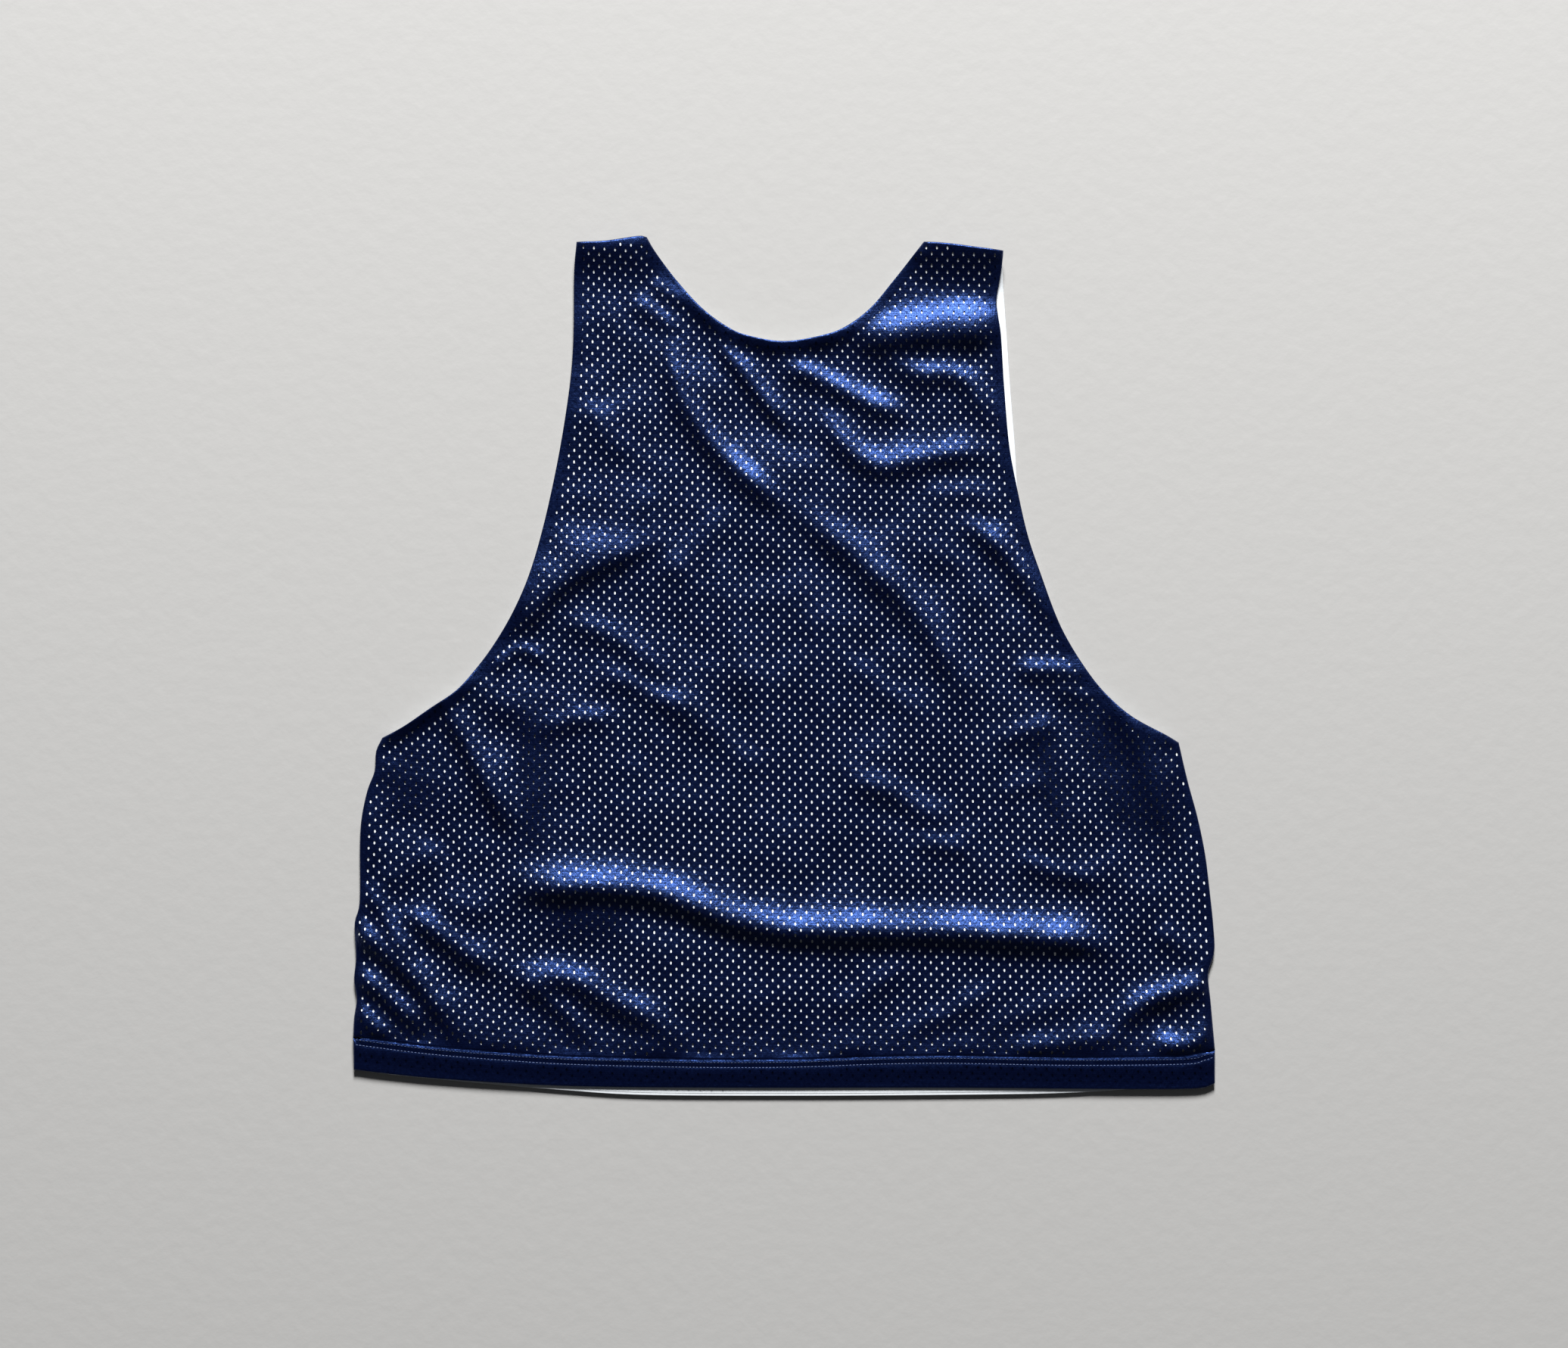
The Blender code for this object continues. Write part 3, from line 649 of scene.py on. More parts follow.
@functools.cache
def perforation_tree():
    """Cells with an oval hole each, on a staggered lattice, wherever the flat outline holds them."""
    tree = Tree("perforated_cells", (
        ("Pitch across", "NodeSocketFloat"), ("Pitch along", "NodeSocketFloat"),
        ("Hole width", "NodeSocketFloat"), ("Hole height", "NodeSocketFloat"),
        ("Columns", "NodeSocketInt"), ("Rows", "NodeSocketInt"),
        ("Corner", "NodeSocketVector"), ("Edge clearance", "NodeSocketFloat"),
        ("Hole sides", "NodeSocketInt"),
        ("Weld", "NodeSocketFloat"), ("Material", "NodeSocketMaterial"),
    ))
    given = tree.given
    across, along = given["Pitch across"], given["Pitch along"]
    half_across, half_along = tree.math("MULTIPLY", across, 0.5), tree.math("MULTIPLY", along, 0.5)

    # One cell: a diamond with an oval hole
    rings = []
    for sides, width, height in (
        (4, across, along), (given["Hole sides"], given["Hole width"], given["Hole height"])
    ):
        ring = tree.node("GeometryNodeCurvePrimitiveCircle", {"Resolution": sides, "Radius": 0.5})
        size = tree.vector(width, height, 1.0)
        rings.append(tree.node("GeometryNodeTransform",
                               {"Geometry": ring.outputs[0], "Scale": size}).outputs[0])
    both = tree.node("GeometryNodeJoinGeometry", {"Geometry": rings}).outputs[0]
    cell = tree.node("GeometryNodeFillCurve", {"Curve": both}, mode="TRIANGLES").outputs[0]

    # Two grids of cell centres, the second half a cell across and half a cell along
    size_across = tree.math("MULTIPLY", across, tree.math("SUBTRACT", given["Columns"], 1.0))
    size_along = tree.math("MULTIPLY", along, tree.math("SUBTRACT", given["Rows"], 1.0))
    grid = tree.node("GeometryNodeMeshGrid", {
        "Size X": size_across, "Size Y": size_along,
        "Vertices X": given["Columns"], "Vertices Y": given["Rows"],
    }).outputs[0]
    centre = tree.vector(tree.math("MULTIPLY", size_across, 0.5), tree.math("MULTIPLY", size_along, 0.5))
    start = tree.node("ShaderNodeVectorMath", {"Vector": centre, "Vector_001": given["Corner"]}).outputs[0]
    even = tree.node("GeometryNodeTransform", {"Geometry": grid, "Translation": start}).outputs[0]
    odd = tree.node("GeometryNodeTransform",
                    {"Geometry": even, "Translation": tree.vector(half_across, half_along)}).outputs[0]
    lattice = tree.node("GeometryNodeJoinGeometry", {"Geometry": [even, odd]}).outputs[0]
    points = tree.node("GeometryNodeMeshToPoints", {"Mesh": lattice}).outputs[0]

    # Kept where the cloth lies under them, clear of its edge
    place = tree.node("GeometryNodeInputPosition").outputs[0]
    above = tree.node("ShaderNodeVectorMath", {"Vector": place, "Vector_001": (0, 0, 1)}).outputs[0]
    over = tree.node("GeometryNodeRaycast", {
        "Target Geometry": given["Geometry"], "Source Position": above,
        "Ray Direction": (0, 0, -1), "Ray Length": 2.0,
    }).outputs["Is Hit"]
    to_edge = tree.node("GeometryNodeProximity", {"Target": given["Geometry"]},
                        target_element="EDGES").outputs["Distance"]
    clear = tree.node("FunctionNodeCompare", {"A": to_edge, "B": given["Edge clearance"]},
                      operation="GREATER_THAN").outputs[0]
    kept = tree.node("FunctionNodeBooleanMath", {"Boolean": over, "Boolean_001": clear},
                     operation="AND").outputs[0]
    placed = tree.node("GeometryNodeInstanceOnPoints",
                       {"Points": points, "Selection": kept, "Instance": cell}).outputs[0]
    tree.finish(placed)
    return tree


@functools.cache
def stitch_tree():
    """Rounded stitches laid end to end along a path of edges."""
    tree = Tree("stitch_row", (
        ("Pitch", "NodeSocketFloat"), ("Length", "NodeSocketFloat"),
        ("Thickness", "NodeSocketFloat"), ("Weld", "NodeSocketFloat"),
        ("Material", "NodeSocketMaterial"),
    ))
    given = tree.given
    line = tree.node("GeometryNodeMeshToCurve", {"Mesh": given["Geometry"]}).outputs[0]
    laid = tree.node("GeometryNodeCurveToPoints", {"Curve": line, "Length": given["Pitch"]}, mode="LENGTH")
    ball = tree.node("GeometryNodeMeshUVSphere", {"Segments": 6, "Rings": 5, "Radius": 0.5}).outputs[0]
    size = tree.vector(given["Thickness"], given["Thickness"], given["Length"])
    stitch = tree.node("GeometryNodeTransform", {"Geometry": ball, "Scale": size}).outputs[0]
    placed = tree.node("GeometryNodeInstanceOnPoints", {
        "Points": laid.outputs["Points"], "Instance": stitch,
        "Rotation": laid.outputs["Rotation"],
    }).outputs[0]
    tree.finish(placed)
    return tree


def grown(tree, base, values):
    """The plain mesh that a tree makes from a base mesh."""
    holder = bpy.data.objects.new("holder", base)
    bpy.context.scene.collection.objects.link(holder)
    modifier = holder.modifiers.new("grow", "NODES")
    modifier.node_group = tree.group
    for label, value in values.items():
        modifier[tree.sockets[label]] = value
    holder.update_tag()
    bpy.context.view_layer.update()
    seen = holder.evaluated_get(bpy.context.evaluated_depsgraph_get())
    mesh = bpy.data.meshes.new_from_object(seen)
    holder.modifiers.remove(modifier)
    bpy.data.objects.remove(holder)
    bpy.data.meshes.remove(base)
    return mesh


def mesh_points(mesh):
    points = np.empty(len(mesh.vertices) * 3)
    mesh.vertices.foreach_get("co", points)
    return points.reshape(-1, 3)


def mesh_triangles(mesh):
    mesh.calc_loop_triangles()
    triangles = np.empty(len(mesh.loop_triangles) * 3, int)
    mesh.loop_triangles.foreach_get("vertices", triangles)
    return triangles.reshape(-1, 3)


def open_edges(triangles):
    """Edges that only one triangle has."""
    ends = np.concatenate([triangles[:, [0, 1]], triangles[:, [1, 2]], triangles[:, [2, 0]]])
    pairs, count = np.unique(np.sort(ends, axis=1), axis=0, return_counts=True)
    return pairs[count == 1]


class Perforated:
    """Flat perforated cloth inside a closed loop: cells, and plain cloth out to the loop."""

    def __init__(self, loop, layer, material, shift=(0.0, 0.0)):
        cloth = bpy.context.scene.jersey_cloth
        self.pitch = np.array([cloth.pitch_across, cloth.pitch_along]) / MM
        self.hole = np.array([cloth.hole_width, cloth.hole_height]) / MM
        self.sides = cloth.hole_sides
        self.shift = np.array(shift)
        self.layer = layer
        lattice, cells = self.grow_cells(loop, material)
        self.kept = {tuple(c) for c in self.cell_of(lattice[cells].mean(axis=1))}
        whole = 2 * lattice / self.pitch
        corner = (abs(whole - np.round(whole)) < LATTICE_SLACK).all(axis=1)
        rim = open_edges(cells)
        rim = rim[corner[rim].all(axis=1)]
        holes = self.extra_holes(loop)
        self.points = np.vstack([lattice_to_cloth(lattice + self.shift, layer), loop, holes])
        self.loop_ids = len(lattice) + np.arange(len(loop))
        hole_ids = len(lattice) + len(loop) + np.arange(len(holes))
        self.triangles = np.vstack([cells, self.fill_border(loop, rim, hole_ids)])
        self.is_rim = np.zeros(len(self.points), bool)
        self.is_rim[: len(corner)] = ~corner
        self.is_rim[hole_ids] = True

    def grow_cells(self, loop, material):
        """Lattice places and triangles of the cells that lie clear of the loop."""
        flat = cloth_to_lattice(loop, self.layer) - self.shift
        start = np.floor(flat.min(axis=0) / self.pitch) * self.pitch - self.pitch
        count = np.ceil((flat.max(axis=0) - start) / self.pitch).astype(int) + 1
        base = bpy.data.meshes.new("flat_outline")
        base.from_pydata([(x * MM, y * MM, 0) for x, y in flat], [], [list(range(len(flat)))])
        mesh = grown(perforation_tree(), base, {
            "Pitch across": self.pitch[0] * MM, "Pitch along": self.pitch[1] * MM,
            "Hole width": self.hole[0] * MM, "Hole height": self.hole[1] * MM,
            "Columns": int(count[0]), "Rows": int(count[1]),
            "Corner": (start[0] * MM, start[1] * MM, 0.0),
            "Edge clearance": (self.pitch[1] / 2 + CELL_EDGE_ROOM) * MM,
            "Hole sides": self.sides, "Weld": WELD, "Material": material,
        })
        lattice = mesh_points(mesh)[:, :2] / MM
        cells = mesh_triangles(mesh)
        bpy.data.meshes.remove(mesh)
        return lattice, cells

    def fill_border(self, loop, rim, hole_ids):
        """Triangles between the cells and the loop, round the extra holes."""
        border = np.unique(rim)
        used = np.concatenate([border, self.loop_ids, hole_ids])
        place = {int(v): i for i, v in enumerate(used)}
        edges = [(place[int(a)], place[int(b)]) for a, b in rim]
        first = len(border)
        for size in [len(loop)] + [self.sides] * (len(hole_ids) // self.sides):
            edges += [(first + i, first + (i + 1) % size) for i in range(size)]
            first += size
        flat = self.points[used]
        found = delaunay_2d_cdt([tuple(p) for p in flat], edges, [], 0, 1e-6, True)
        crossings = [i for i, ids in enumerate(found[3]) if not ids]
        fresh = {v: len(used) + i for i, v in enumerate(crossings)}
        origin = [ids[0] if ids else fresh[i] for i, ids in enumerate(found[3])]
        if crossings:
            added = np.array([tuple(found[0][i]) for i in crossings])
            flat = np.vstack([flat, added])
            used = np.concatenate([used, len(self.points) + np.arange(len(added))])
            self.points = np.vstack([self.points, added])
        fill = np.array([[origin[i] for i in face] for face in found[2]])
        fill = fill[inside(loop, flat[fill].mean(axis=1))]
        middle = cloth_to_lattice(flat[fill].mean(axis=1), self.layer) - self.shift
        cell = self.cell_of(middle)
        apart = (abs((middle - self.centre_of(cell)) / (self.hole / 2)) ** 2).sum(axis=1)
        in_kept = np.array([tuple(c) in self.kept for c in cell])
        in_hole = np.array([tuple(c) in self.extra for c in cell]) & (apart < HOLE_CORE)
        return used[fill[~in_kept & ~in_hole]]

    def cell_of(self, lattice):
        whole = 2 * lattice / self.pitch
        return np.round(np.column_stack([whole.sum(axis=1), whole[:, 0] - whole[:, 1]]) / 2).astype(int)

    def centre_of(self, cell):
        return np.column_stack([cell.sum(axis=1), cell[:, 0] - cell[:, 1]]) * self.pitch / 2

    def extra_holes(self, loop):
        """Holes of the lattice that fit between the kept cells and the loop."""
        flat = cloth_to_lattice(loop, self.layer) - self.shift
        around = range(-2, 3)
        near = {(a + i, b + j) for a, b in self.cell_of(flat) for i in around for j in around}
        cells = np.array(sorted(near - self.kept))
        angle = np.arange(self.sides) * 2 * math.pi / self.sides
        oval = np.column_stack([np.cos(angle), np.sin(angle)]) * self.hole / 2
        centres = lattice_to_cloth(self.centre_of(cells) + self.shift, self.layer)
        room = distance_to(curve_closed(loop), centres)
        fits = inside(loop, centres) & (room > self.hole[1] / 2 + HOLE_EDGE_ROOM)
        self.extra = {tuple(c) for c in cells[fits]}
        holes = (self.centre_of(cells[fits])[:, None] + oval[None]).reshape(-1, 2)
        return lattice_to_cloth(holes + self.shift, self.layer)


def curve_closed(loop):
    """The loop with its straight runs cut finer."""
    steps = np.linspace(0, 1, 6, endpoint=False)[:, None, None]
    return (loop + (np.roll(loop, -1, axis=0) - loop) * steps).reshape(-1, 2)


def edge_rows(outline, on_seam, seam_in, seam_drop):
    """How far in and how far down each row of the finished edge lies, at each point."""
    corners = outline[on_seam][[0, -1], 0]
    from_end = np.minimum(abs(outline[:, 0] - corners[0]), abs(outline[:, 0] - corners[1]))
    on = np.where(on_seam, smooth(from_end / SEAM_RAMP), 0.0)
    far_in = [a * (1 - on) + b * on for a, b in zip(TURN_IN, seam_in)]
    drop = [a * (1 - on) + b * on for a, b in zip(TURN_DROP, seam_drop)]
    return far_in, drop


def cloth_piece(layer, outline, on_seam, seam_rows, material, name, plies=1):
    """One piece of perforated cloth with its edges turned in."""
    made = LAYERS[layer]
    side = layer.split("_")[0]
    to_closed = distance_to(closed_edges(), outline)
    near = 1 - smooth(to_closed / CLOSING_RUN)
    if plies == 2:
        near = 1 - smooth((HALF_HEM - abs(outline[:, 0])) / CLOSING_RUN)
    inset = made["bagged"] + (made["closed"] - made["bagged"]) * near
    inset = np.where(on_seam, made["closed"] * near, inset)
    outline = moved_in(outline, inset)
    far_in, drop = edge_rows(outline, on_seam, *seam_rows)
    loop = moved_in(outline, far_in[0])
    sheet = Perforated(loop, layer, material)
    height = surface(layer, sheet.points) - HOLE_DIMPLE * sheet.is_rim
    count = len(outline)
    level = surface(layer, outline)
    seam = made["meets"] + lift_map().at(outline)
    depth = near * (seam - level) + (1 - near) * made["side"] * BAGGED_DROP
    depth = np.where(on_seam & (near < 0.01), SEAM_EDGE_DROP, depth)

    places, heights = [sheet.points], [height]
    triangles = [sheet.triangles]
    before = sheet.loop_ids
    start = len(sheet.points)
    for amount, fall in zip(far_in[1:], drop[1:]):
        row = moved_in(outline, amount)
        places.append(row)
        heights.append(surface(layer, row) + depth * fall)
        row_ids = start + np.arange(count)
        ahead, row_ahead = np.roll(before, -1), np.roll(row_ids, -1)
        triangles.append(np.column_stack([before, row_ids, row_ahead]))
        triangles.append(np.column_stack([before, row_ahead, ahead]))
        before = row_ids
        start += count
    if plies == 2:
        inner = Perforated(moved_in(loop, PLY_INSET), layer, material, (0.0, made["ply shift"]))
        places.append(inner.points)
        heights.append(surface(layer, inner.points) + made["side"] * HEM_PLY)
        triangles.append(inner.triangles + start)
    flat = (np.vstack(places) - ORIGIN) * MM
    points = np.column_stack([flat, np.concatenate(heights) * MM])
    faces = np.vstack(triangles)
    if layer in ("front_navy", "back_white"):
        faces = faces[:, ::-1]
    return add_mesh(name, points, faces, material)


def add_mesh(name, points, faces, material):
    mesh = bpy.data.meshes.new(name)
    mesh.from_pydata(points.tolist(), [], faces.tolist())
    mesh.update()
    mesh.shade_smooth()
    mesh.materials.append(material)
    piece = bpy.data.objects.new(name, mesh)
    bpy.context.scene.collection.objects.link(piece)
    return piece


# Materials
class Value:
    """A number or colour on a shader socket, with the sums written as Python."""

    def __init__(self, nodes, socket):
        self.nodes = nodes
        self.socket = socket

    def _math(self, operation, a, b):
        return self.nodes.add("ShaderNodeMath", {"operation": operation}, {0: a, 1: b})

    def __add__(self, other):
        return self._math("ADD", self, other)

    __radd__ = __add__

    def __mul__(self, other):
        return self._math("MULTIPLY", self, other)

    __rmul__ = __mul__

    def __sub__(self, other):
        return self._math("SUBTRACT", self, other)

    def sine(self):
        return self._math("SINE", self, 0.0)


class Shader:
    """One material's nodes around a Principled BSDF."""

    def __init__(self, name):
        self.material = bpy.data.materials.new(name)
        self.material.use_nodes = True
        self.tree = self.material.node_tree
        self.surface = self.tree.nodes["Principled BSDF"]

    def add(self, kind, settings=None, values=None, output=0):
        node = self.tree.nodes.new(kind)
        for key, value in (settings or {}).items():
            setattr(node, key, value)
        for key, value in (values or {}).items():
            self.link(value, node.inputs[key])
        return Value(self, node.outputs[output])

    def link(self, value, socket):
        if isinstance(value, Value):
            self.tree.links.new(value.socket, socket)
        else:
            socket.default_value = value

    def set(self, **values):
        for key, value in values.items():
            self.link(value, self.surface.inputs[key.replace("_", " ")])

    def noise(self, scale, detail=2.0, stretch=(1.0, 1.0, 1.0)):
        place = self.add("ShaderNodeTexCoord", output=3)
        place = self.add("ShaderNodeVectorMath", {"operation": "MULTIPLY"}, {0: place, 1: stretch})
        return self.add("ShaderNodeTexNoise", None, {"Vector": place, "Scale": scale, "Detail": detail})

    def place(self, axis):
        """The piece's own coordinate, 0 across and 1 along."""
        whole = self.add("ShaderNodeTexCoord", output=3)
        return self.add("ShaderNodeSeparateXYZ", None, {0: whole}, axis)

    def blend(self, factor, a, b):
        node = self.tree.nodes.new("ShaderNodeMix")
        node.data_type = "RGBA"
        self.link(factor, node.inputs[0])
        self.link(a, node.inputs[6])
        self.link(b, node.inputs[7])
        return Value(self, node.outputs[2])

    def bump(self, height, distance):
        return self.add("ShaderNodeBump", None, {"Height": height, "Distance": distance})


def knit_height(shader):
    """Wales and courses of the knit, with a mottled surface over them."""
    wales = (shader.place(0) * (2 * math.pi / WALE_PITCH)).sine()
    courses = (shader.place(1) * (2 * math.pi / COURSE_PITCH)).sine()
    mottle = shader.noise(650.0, 3.0, (1.0, 0.6, 1.0))
    return wales * 0.05 + courses * 0.04 + mottle * 0.95


@functools.cache
def navy_material():
    colours = bpy.context.scene.jersey_colours
    shader = Shader("navy_mesh_knit")
    mottle = shader.noise(420.0, 3.0, (1.0, 0.55, 1.0))
    wide = shader.noise(24.0, 2.0)
    shader.set(
        Base_Color=shader.blend(mottle * 0.8 + wide * 0.3 - 0.1,
                                (*colours.navy_shade, 1), (*colours.navy, 1)),
        Roughness=0.29 + mottle * 0.16,
        Normal=shader.bump(knit_height(shader), 0.0004),
        Metallic=0.0,
    )
    shader.set(Specular_IOR_Level=1.0, IOR=1.53, Specular_Tint=(*colours.navy_sheen, 1))
    return shader.material


@functools.cache
def white_material():
    colours = bpy.context.scene.jersey_colours
    shader = Shader("white_mesh_knit")
    mottle = shader.noise(420.0, 3.0, (1.0, 0.55, 1.0))
    shader.set(
        Base_Color=shader.blend(mottle, (*colours.white_shade, 1), (*colours.white, 1)),
        Roughness=0.5 + mottle * 0.15,
        Normal=shader.bump(knit_height(shader), 0.00012),
        Metallic=0.0,
    )
    return shader.material


@functools.cache
def thread_material(name):
    colours = bpy.context.scene.jersey_colours
    shader = Shader(name)
    tint = {"pale_thread": colours.pale_thread, "navy_thread": colours.navy_thread,
            "white_thread": colours.white}[name]
    twist = (shader.place(0) * 5200.0 + shader.place(1) * 3100.0).sine() * 0.5 + 0.5
    # Painted shade: the base colour darkens to 0.55 of the thread's tint in the twist's grooves, where the
    # bump is lowest
    twist_groove_shade = tuple(c * 0.55 for c in tint)
    shader.set(
        Base_Color=shader.blend(twist, (*twist_groove_shade, 1), (*tint, 1)),
        Roughness=0.45 + twist * 0.1,
        Normal=shader.bump(twist, 0.0001),
    )
    return shader.material


def floor_material():
    stage = bpy.context.scene.jersey_stage
    shader = Shader("floor_paper")
    grain = shader.noise(90.0, 4.0)
    tint = tuple(stage.floor_tone)
    shader.set(
        Base_Color=shader.blend(grain, (*(c * 0.97 for c in tint), 1), (*tint, 1)),
        Roughness=0.75,
        Normal=shader.bump(grain, 0.0002),
    )
    return shader.material


# Settings
class JerseyCloth(bpy.types.PropertyGroup):
    """Sizes of the perforated knit and its sewing."""

    pitch_across: FloatProperty(
        name="Pitch across", description="Distance between two holes of one row",
        default=0.00787, unit="LENGTH")
    pitch_along: FloatProperty(
        name="Pitch along", description="Distance between two holes of one column",
        default=0.00834, unit="LENGTH")
    hole_width: FloatProperty(
        name="Hole width", description="Width of one oval hole", default=0.00145, unit="LENGTH")
    hole_height: FloatProperty(
        name="Hole height", description="Height of one oval hole", default=0.0029, unit="LENGTH")
    hole_sides: IntProperty(
        name="Hole sides", description="Corners drawn round one hole", default=8, min=6)
    crumple: FloatProperty(
        name="Crumple", description="Unevenness of the lying cloth, in millimetres", default=1.9)
    crumple_size: FloatProperty(
        name="Crumple size", description="Width of one soft dent, in millimetres", default=46.0)
    stitch_pitch: FloatProperty(
        name="Stitch pitch", description="Distance from stitch to stitch", default=0.0025,
        unit="LENGTH")
    stitch_length: FloatProperty(
        name="Stitch length", description="Length of one stitch", default=0.0018, unit="LENGTH")
    thread_width: FloatProperty(
        name="Thread width", description="Width of the sewing thread", default=0.00045,
        unit="LENGTH")


class JerseyColours(bpy.types.PropertyGroup):
    """Colours of the two knits and the threads."""

    navy: FloatVectorProperty(
        name="Navy", description="Lighter yarn of the navy knit", subtype="COLOR",
        default=(0.0006, 0.0010, 0.0130))
    navy_shade: FloatVectorProperty(
        name="Navy shade", description="Darker yarn of the navy knit", subtype="COLOR",
        default=(0.0002, 0.0004, 0.0060))
    navy_sheen: FloatVectorProperty(
        name="Navy sheen", description="Tint of the satin gloss on the navy", subtype="COLOR",
        default=(0.13, 0.295, 1.0))
    white: FloatVectorProperty(
        name="White", description="Lighter yarn of the white knit", subtype="COLOR",
        default=(0.76, 0.79, 0.81))
    white_shade: FloatVectorProperty(
        name="White shade", description="Darker yarn of the white knit", subtype="COLOR",
        default=(0.66, 0.69, 0.73))
    pale_thread: FloatVectorProperty(
        name="Pale thread", description="Lower stitch row of the navy hem", subtype="COLOR",
        default=(0.11, 0.16, 0.32))
    navy_thread: FloatVectorProperty(
        name="Navy thread", description="Upper stitch row of the navy hem", subtype="COLOR",
        default=(0.020, 0.045, 0.13))


class JerseyStage(bpy.types.PropertyGroup):
    """Floor, camera and light."""

    floor_tone: FloatVectorProperty(
        name="Floor tone", description="Colour of the floor", subtype="COLOR",
        default=(0.42, 0.415, 0.405))
    view_width: FloatProperty(
        name="View width", description="Width of the floor that the camera sees",
        default=2072 * 0.000545, unit="LENGTH")
    lens: FloatProperty(
        name="Lens", description="Focal length in millimetres", default=85.0)
    key_elevation: FloatProperty(
        name="Key height", description="Angle of the main light over the floor, in degrees",
        default=30.0)
    key_power: FloatProperty(
        name="Key power", description="Power of the main light", default=1010.0, unit="POWER")
    fill: FloatProperty(
        name="Fill", description="Brightness of the even light from all round", default=0.05)


def fit(piece, node):
    """Hides the CAD node that a piece stands for, and puts the piece on the body."""
    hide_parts(node)
    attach(piece, "root")


def make_panel(layer):
    """One panel, cut to its outline."""
    side, shade = layer.split("_")
    outline, on_seam = panel_outline(side)
    material = navy_material() if shade == "navy" else white_material()
    piece = cloth_piece(layer, outline, on_seam, (PANEL_SEAM_IN, PANEL_SEAM_DROP), material,
                        f"{side}_{shade}_panel")
    fit(piece, f"{side}_panel_{shade}")


def make_hem(layer, threads=()):
    """One hem, cut twice as high as it shows, with its stitch rows."""
    side, shade = layer.split("_")
    outline, on_seam = hem_outline(FRONT_HEM_EDGE if layer == "front_white" else BACK_HEM_EDGE)
    material = navy_material() if shade == "navy" else white_material()
    piece = cloth_piece(layer, outline, on_seam, (HEM_SEAM_IN, HEM_SEAM_DROP), material,
                        f"{side}_{shade}_hem", plies=2)
    fit(piece, f"{side}_hem_{shade}")
    rows = [make_stitches(layer, below, thread, f"{layer}_hem_stitches_{i + 1}")
            for i, (below, thread) in enumerate(zip(STITCH_ROWS, threads))]


def make_stitches(layer, below, thread, name):
    """One stitch row along the hem, a little sunk in the cloth."""
    cloth = bpy.context.scene.jersey_cloth
    seam = curve_through(HEM_SEAM[::-1], STITCH_PATH_STEP)
    end = STITCH_END_NAVY if layer.endswith("navy") else STITCH_END_WHITE
    seam = seam[abs(seam[:, 0]) < HALF_HEM - end]
    seam[:, 1] -= below
    out = 1.0 if layer in ("back_navy", "front_white") else -1.0
    height = surface(layer, seam) + out * cloth.thread_width / MM * STITCH_SUNK
    flat = (seam - ORIGIN) * MM
    base = bpy.data.meshes.new("stitch_path")
    base.from_pydata(np.column_stack([flat, height * MM]).tolist(),
                     [(i, i + 1) for i in range(len(flat) - 1)], [])
    mesh = grown(stitch_tree(), base, {
        "Pitch": cloth.stitch_pitch, "Length": cloth.stitch_length,
        "Thickness": cloth.thread_width, "Weld": 0.000001, "Material": thread_material(thread),
    })
    mesh.shade_smooth()
    piece = bpy.data.objects.new(name, mesh)
    bpy.context.scene.collection.objects.link(piece)
    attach(piece, "root")
    return piece


# Operators
class JERSEY_OT_front(bpy.types.Operator):
    """Adds the navy and white front with their hems"""

    bl_idname = "jersey.front"
    bl_label = "Front"

    def execute(self, context):
        for layer, under, thread in (
            ("front_navy", "front_hem_navy", "navy_thread"),
            ("front_white", "front_navy_panel", "white_thread"),
        ):
            make_panel(layer)
            make_hem(layer, (thread, thread))
        return {"FINISHED"}


class JERSEY_OT_white_back(bpy.types.Operator):
    """Adds the white back and its hem"""

    bl_idname = "jersey.white_back"
    bl_label = "White back"

    def execute(self, context):
        make_panel("back_white")
        make_hem("back_white")
        return {"FINISHED"}


class JERSEY_OT_navy_back(bpy.types.Operator):
    """Adds the navy back that shows, with its folds"""

    bl_idname = "jersey.navy_back"
    bl_label = "Navy back"

    def execute(self, context):
        make_panel("back_navy")
        return {"FINISHED"}


class JERSEY_OT_navy_hem(bpy.types.Operator):
    """Adds the navy back's hem with its two stitch rows"""

    bl_idname = "jersey.navy_hem"
    bl_label = "Navy hem"

    def execute(self, context):
        make_hem("back_navy", ("navy_thread", "pale_thread"))
        return {"FINISHED"}


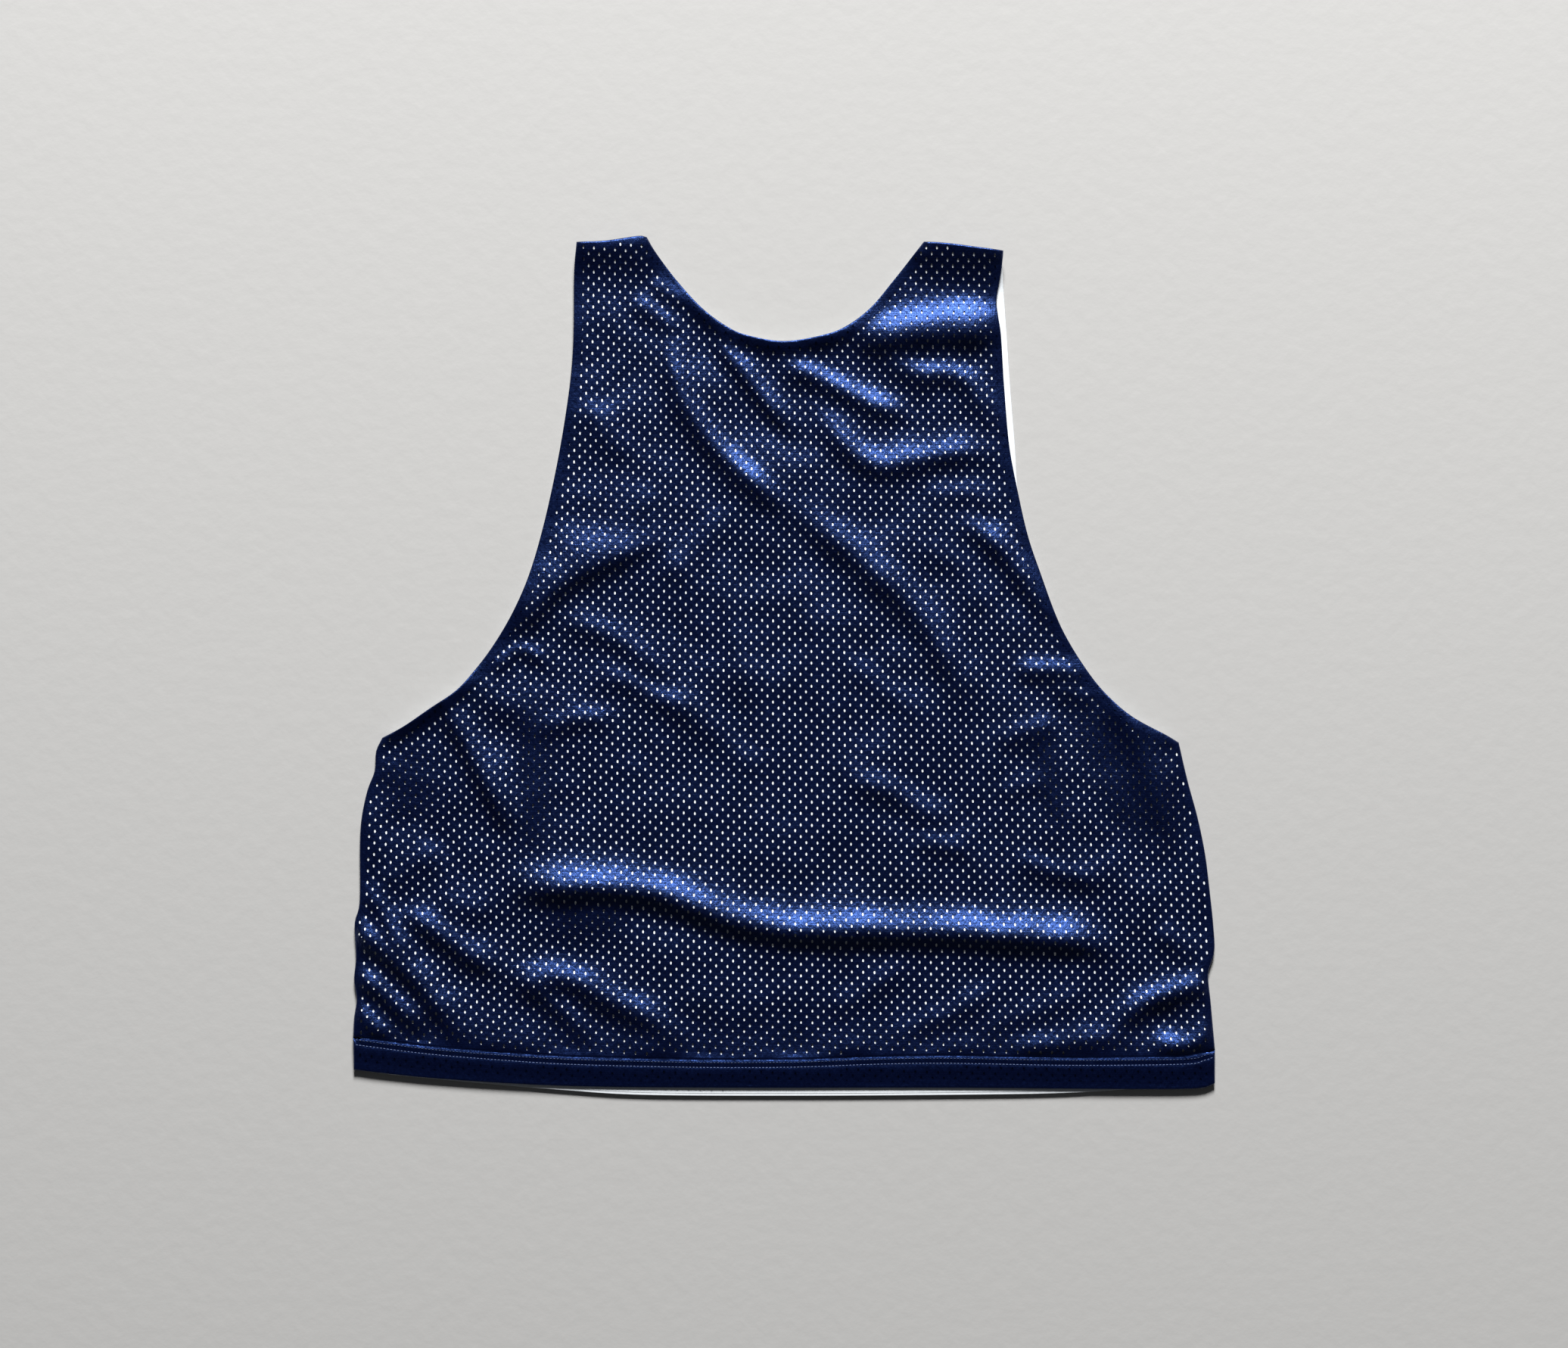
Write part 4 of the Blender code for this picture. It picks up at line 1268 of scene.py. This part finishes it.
class JERSEY_OT_stage(bpy.types.Operator):
    """Adds the floor, the lights and the camera over the garment"""

    bl_idname = "jersey.stage"
    bl_label = "Stage"

    def execute(self, context):
        scene = context.scene
        stage = scene.jersey_stage
        mesh = bpy.data.meshes.new("floor")
        corners = ((-1, -1), (1, -1), (1, 1), (-1, 1))
        mesh.from_pydata([(x * FLOOR_REACH, y * FLOOR_REACH, 0) for x, y in corners],
                         [], [(0, 1, 2, 3)])
        mesh.materials.append(floor_material())
        floor = bpy.data.objects.new("floor", mesh)
        scene.collection.objects.link(floor)

        camera = bpy.data.cameras.new("camera")
        camera.lens = stage.lens
        view = bpy.data.objects.new("camera", camera)
        distance = stage.view_width * stage.lens / camera.sensor_width
        view.location = (0.0, VIEW_CENTRE_UP * MM - ORIGIN[1] * MM, distance)
        scene.collection.objects.link(view)
        scene.camera = view

        elevation = math.radians(stage.key_elevation)
        lamp = bpy.data.lights.new("key", "AREA")
        lamp.shape = "DISK"
        lamp.size = KEY_WIDTH
        lamp.energy = stage.key_power
        key = bpy.data.objects.new("key", lamp)
        key.location = (KEY_ASIDE, math.cos(elevation) * KEY_AWAY, math.sin(elevation) * KEY_AWAY)
        key.rotation_euler = (-key.location).to_track_quat("-Z", "Y").to_euler()
        scene.collection.objects.link(key)

        world = bpy.data.worlds.new("studio")
        world.use_nodes = True
        sky = world.node_tree.nodes["Background"].inputs
        sky["Color"].default_value = SKY
        sky["Strength"].default_value = stage.fill
        scene.world = world
        scene.view_settings.view_transform = "Standard"
        return {"FINISHED"}


class JERSEY_PT_panel(bpy.types.Panel):
    """Buttons and settings of the jersey"""

    bl_label = "Practice jersey"
    bl_idname = "JERSEY_PT_panel"
    bl_space_type = "VIEW_3D"
    bl_region_type = "UI"
    bl_category = "Jersey"

    def draw(self, context):
        for made in OPERATORS:
            self.layout.operator(made.bl_idname)
        for group in ("jersey_cloth", "jersey_colours", "jersey_stage"):
            box = self.layout.box()
            settings = getattr(context.scene, group)
            for name in settings.bl_rna.properties.keys()[2:]:
                box.prop(settings, name)


OPERATORS = (
    JERSEY_OT_front, JERSEY_OT_white_back, JERSEY_OT_navy_back, JERSEY_OT_navy_hem, JERSEY_OT_stage,
)
SETTINGS = (
    ("jersey_cloth", JerseyCloth), ("jersey_colours", JerseyColours), ("jersey_stage", JerseyStage),
)


def register():
    for _, group in SETTINGS:
        bpy.utils.register_class(group)
    for name, group in SETTINGS:
        setattr(bpy.types.Scene, name, PointerProperty(type=group))
    for made in (*OPERATORS, JERSEY_PT_panel):
        bpy.utils.register_class(made)


def unregister():
    for made in (JERSEY_PT_panel, *reversed(OPERATORS)):
        bpy.utils.unregister_class(made)
    for name, group in reversed(SETTINGS):
        delattr(bpy.types.Scene, name)
        bpy.utils.unregister_class(group)


def main():
    register()
    bpy.ops.jersey.stage()
    bpy.ops.jersey.front()
    bpy.ops.jersey.white_back()
    bpy.ops.jersey.navy_back()
    bpy.ops.jersey.navy_hem()


if __name__ == "__main__":
    main()
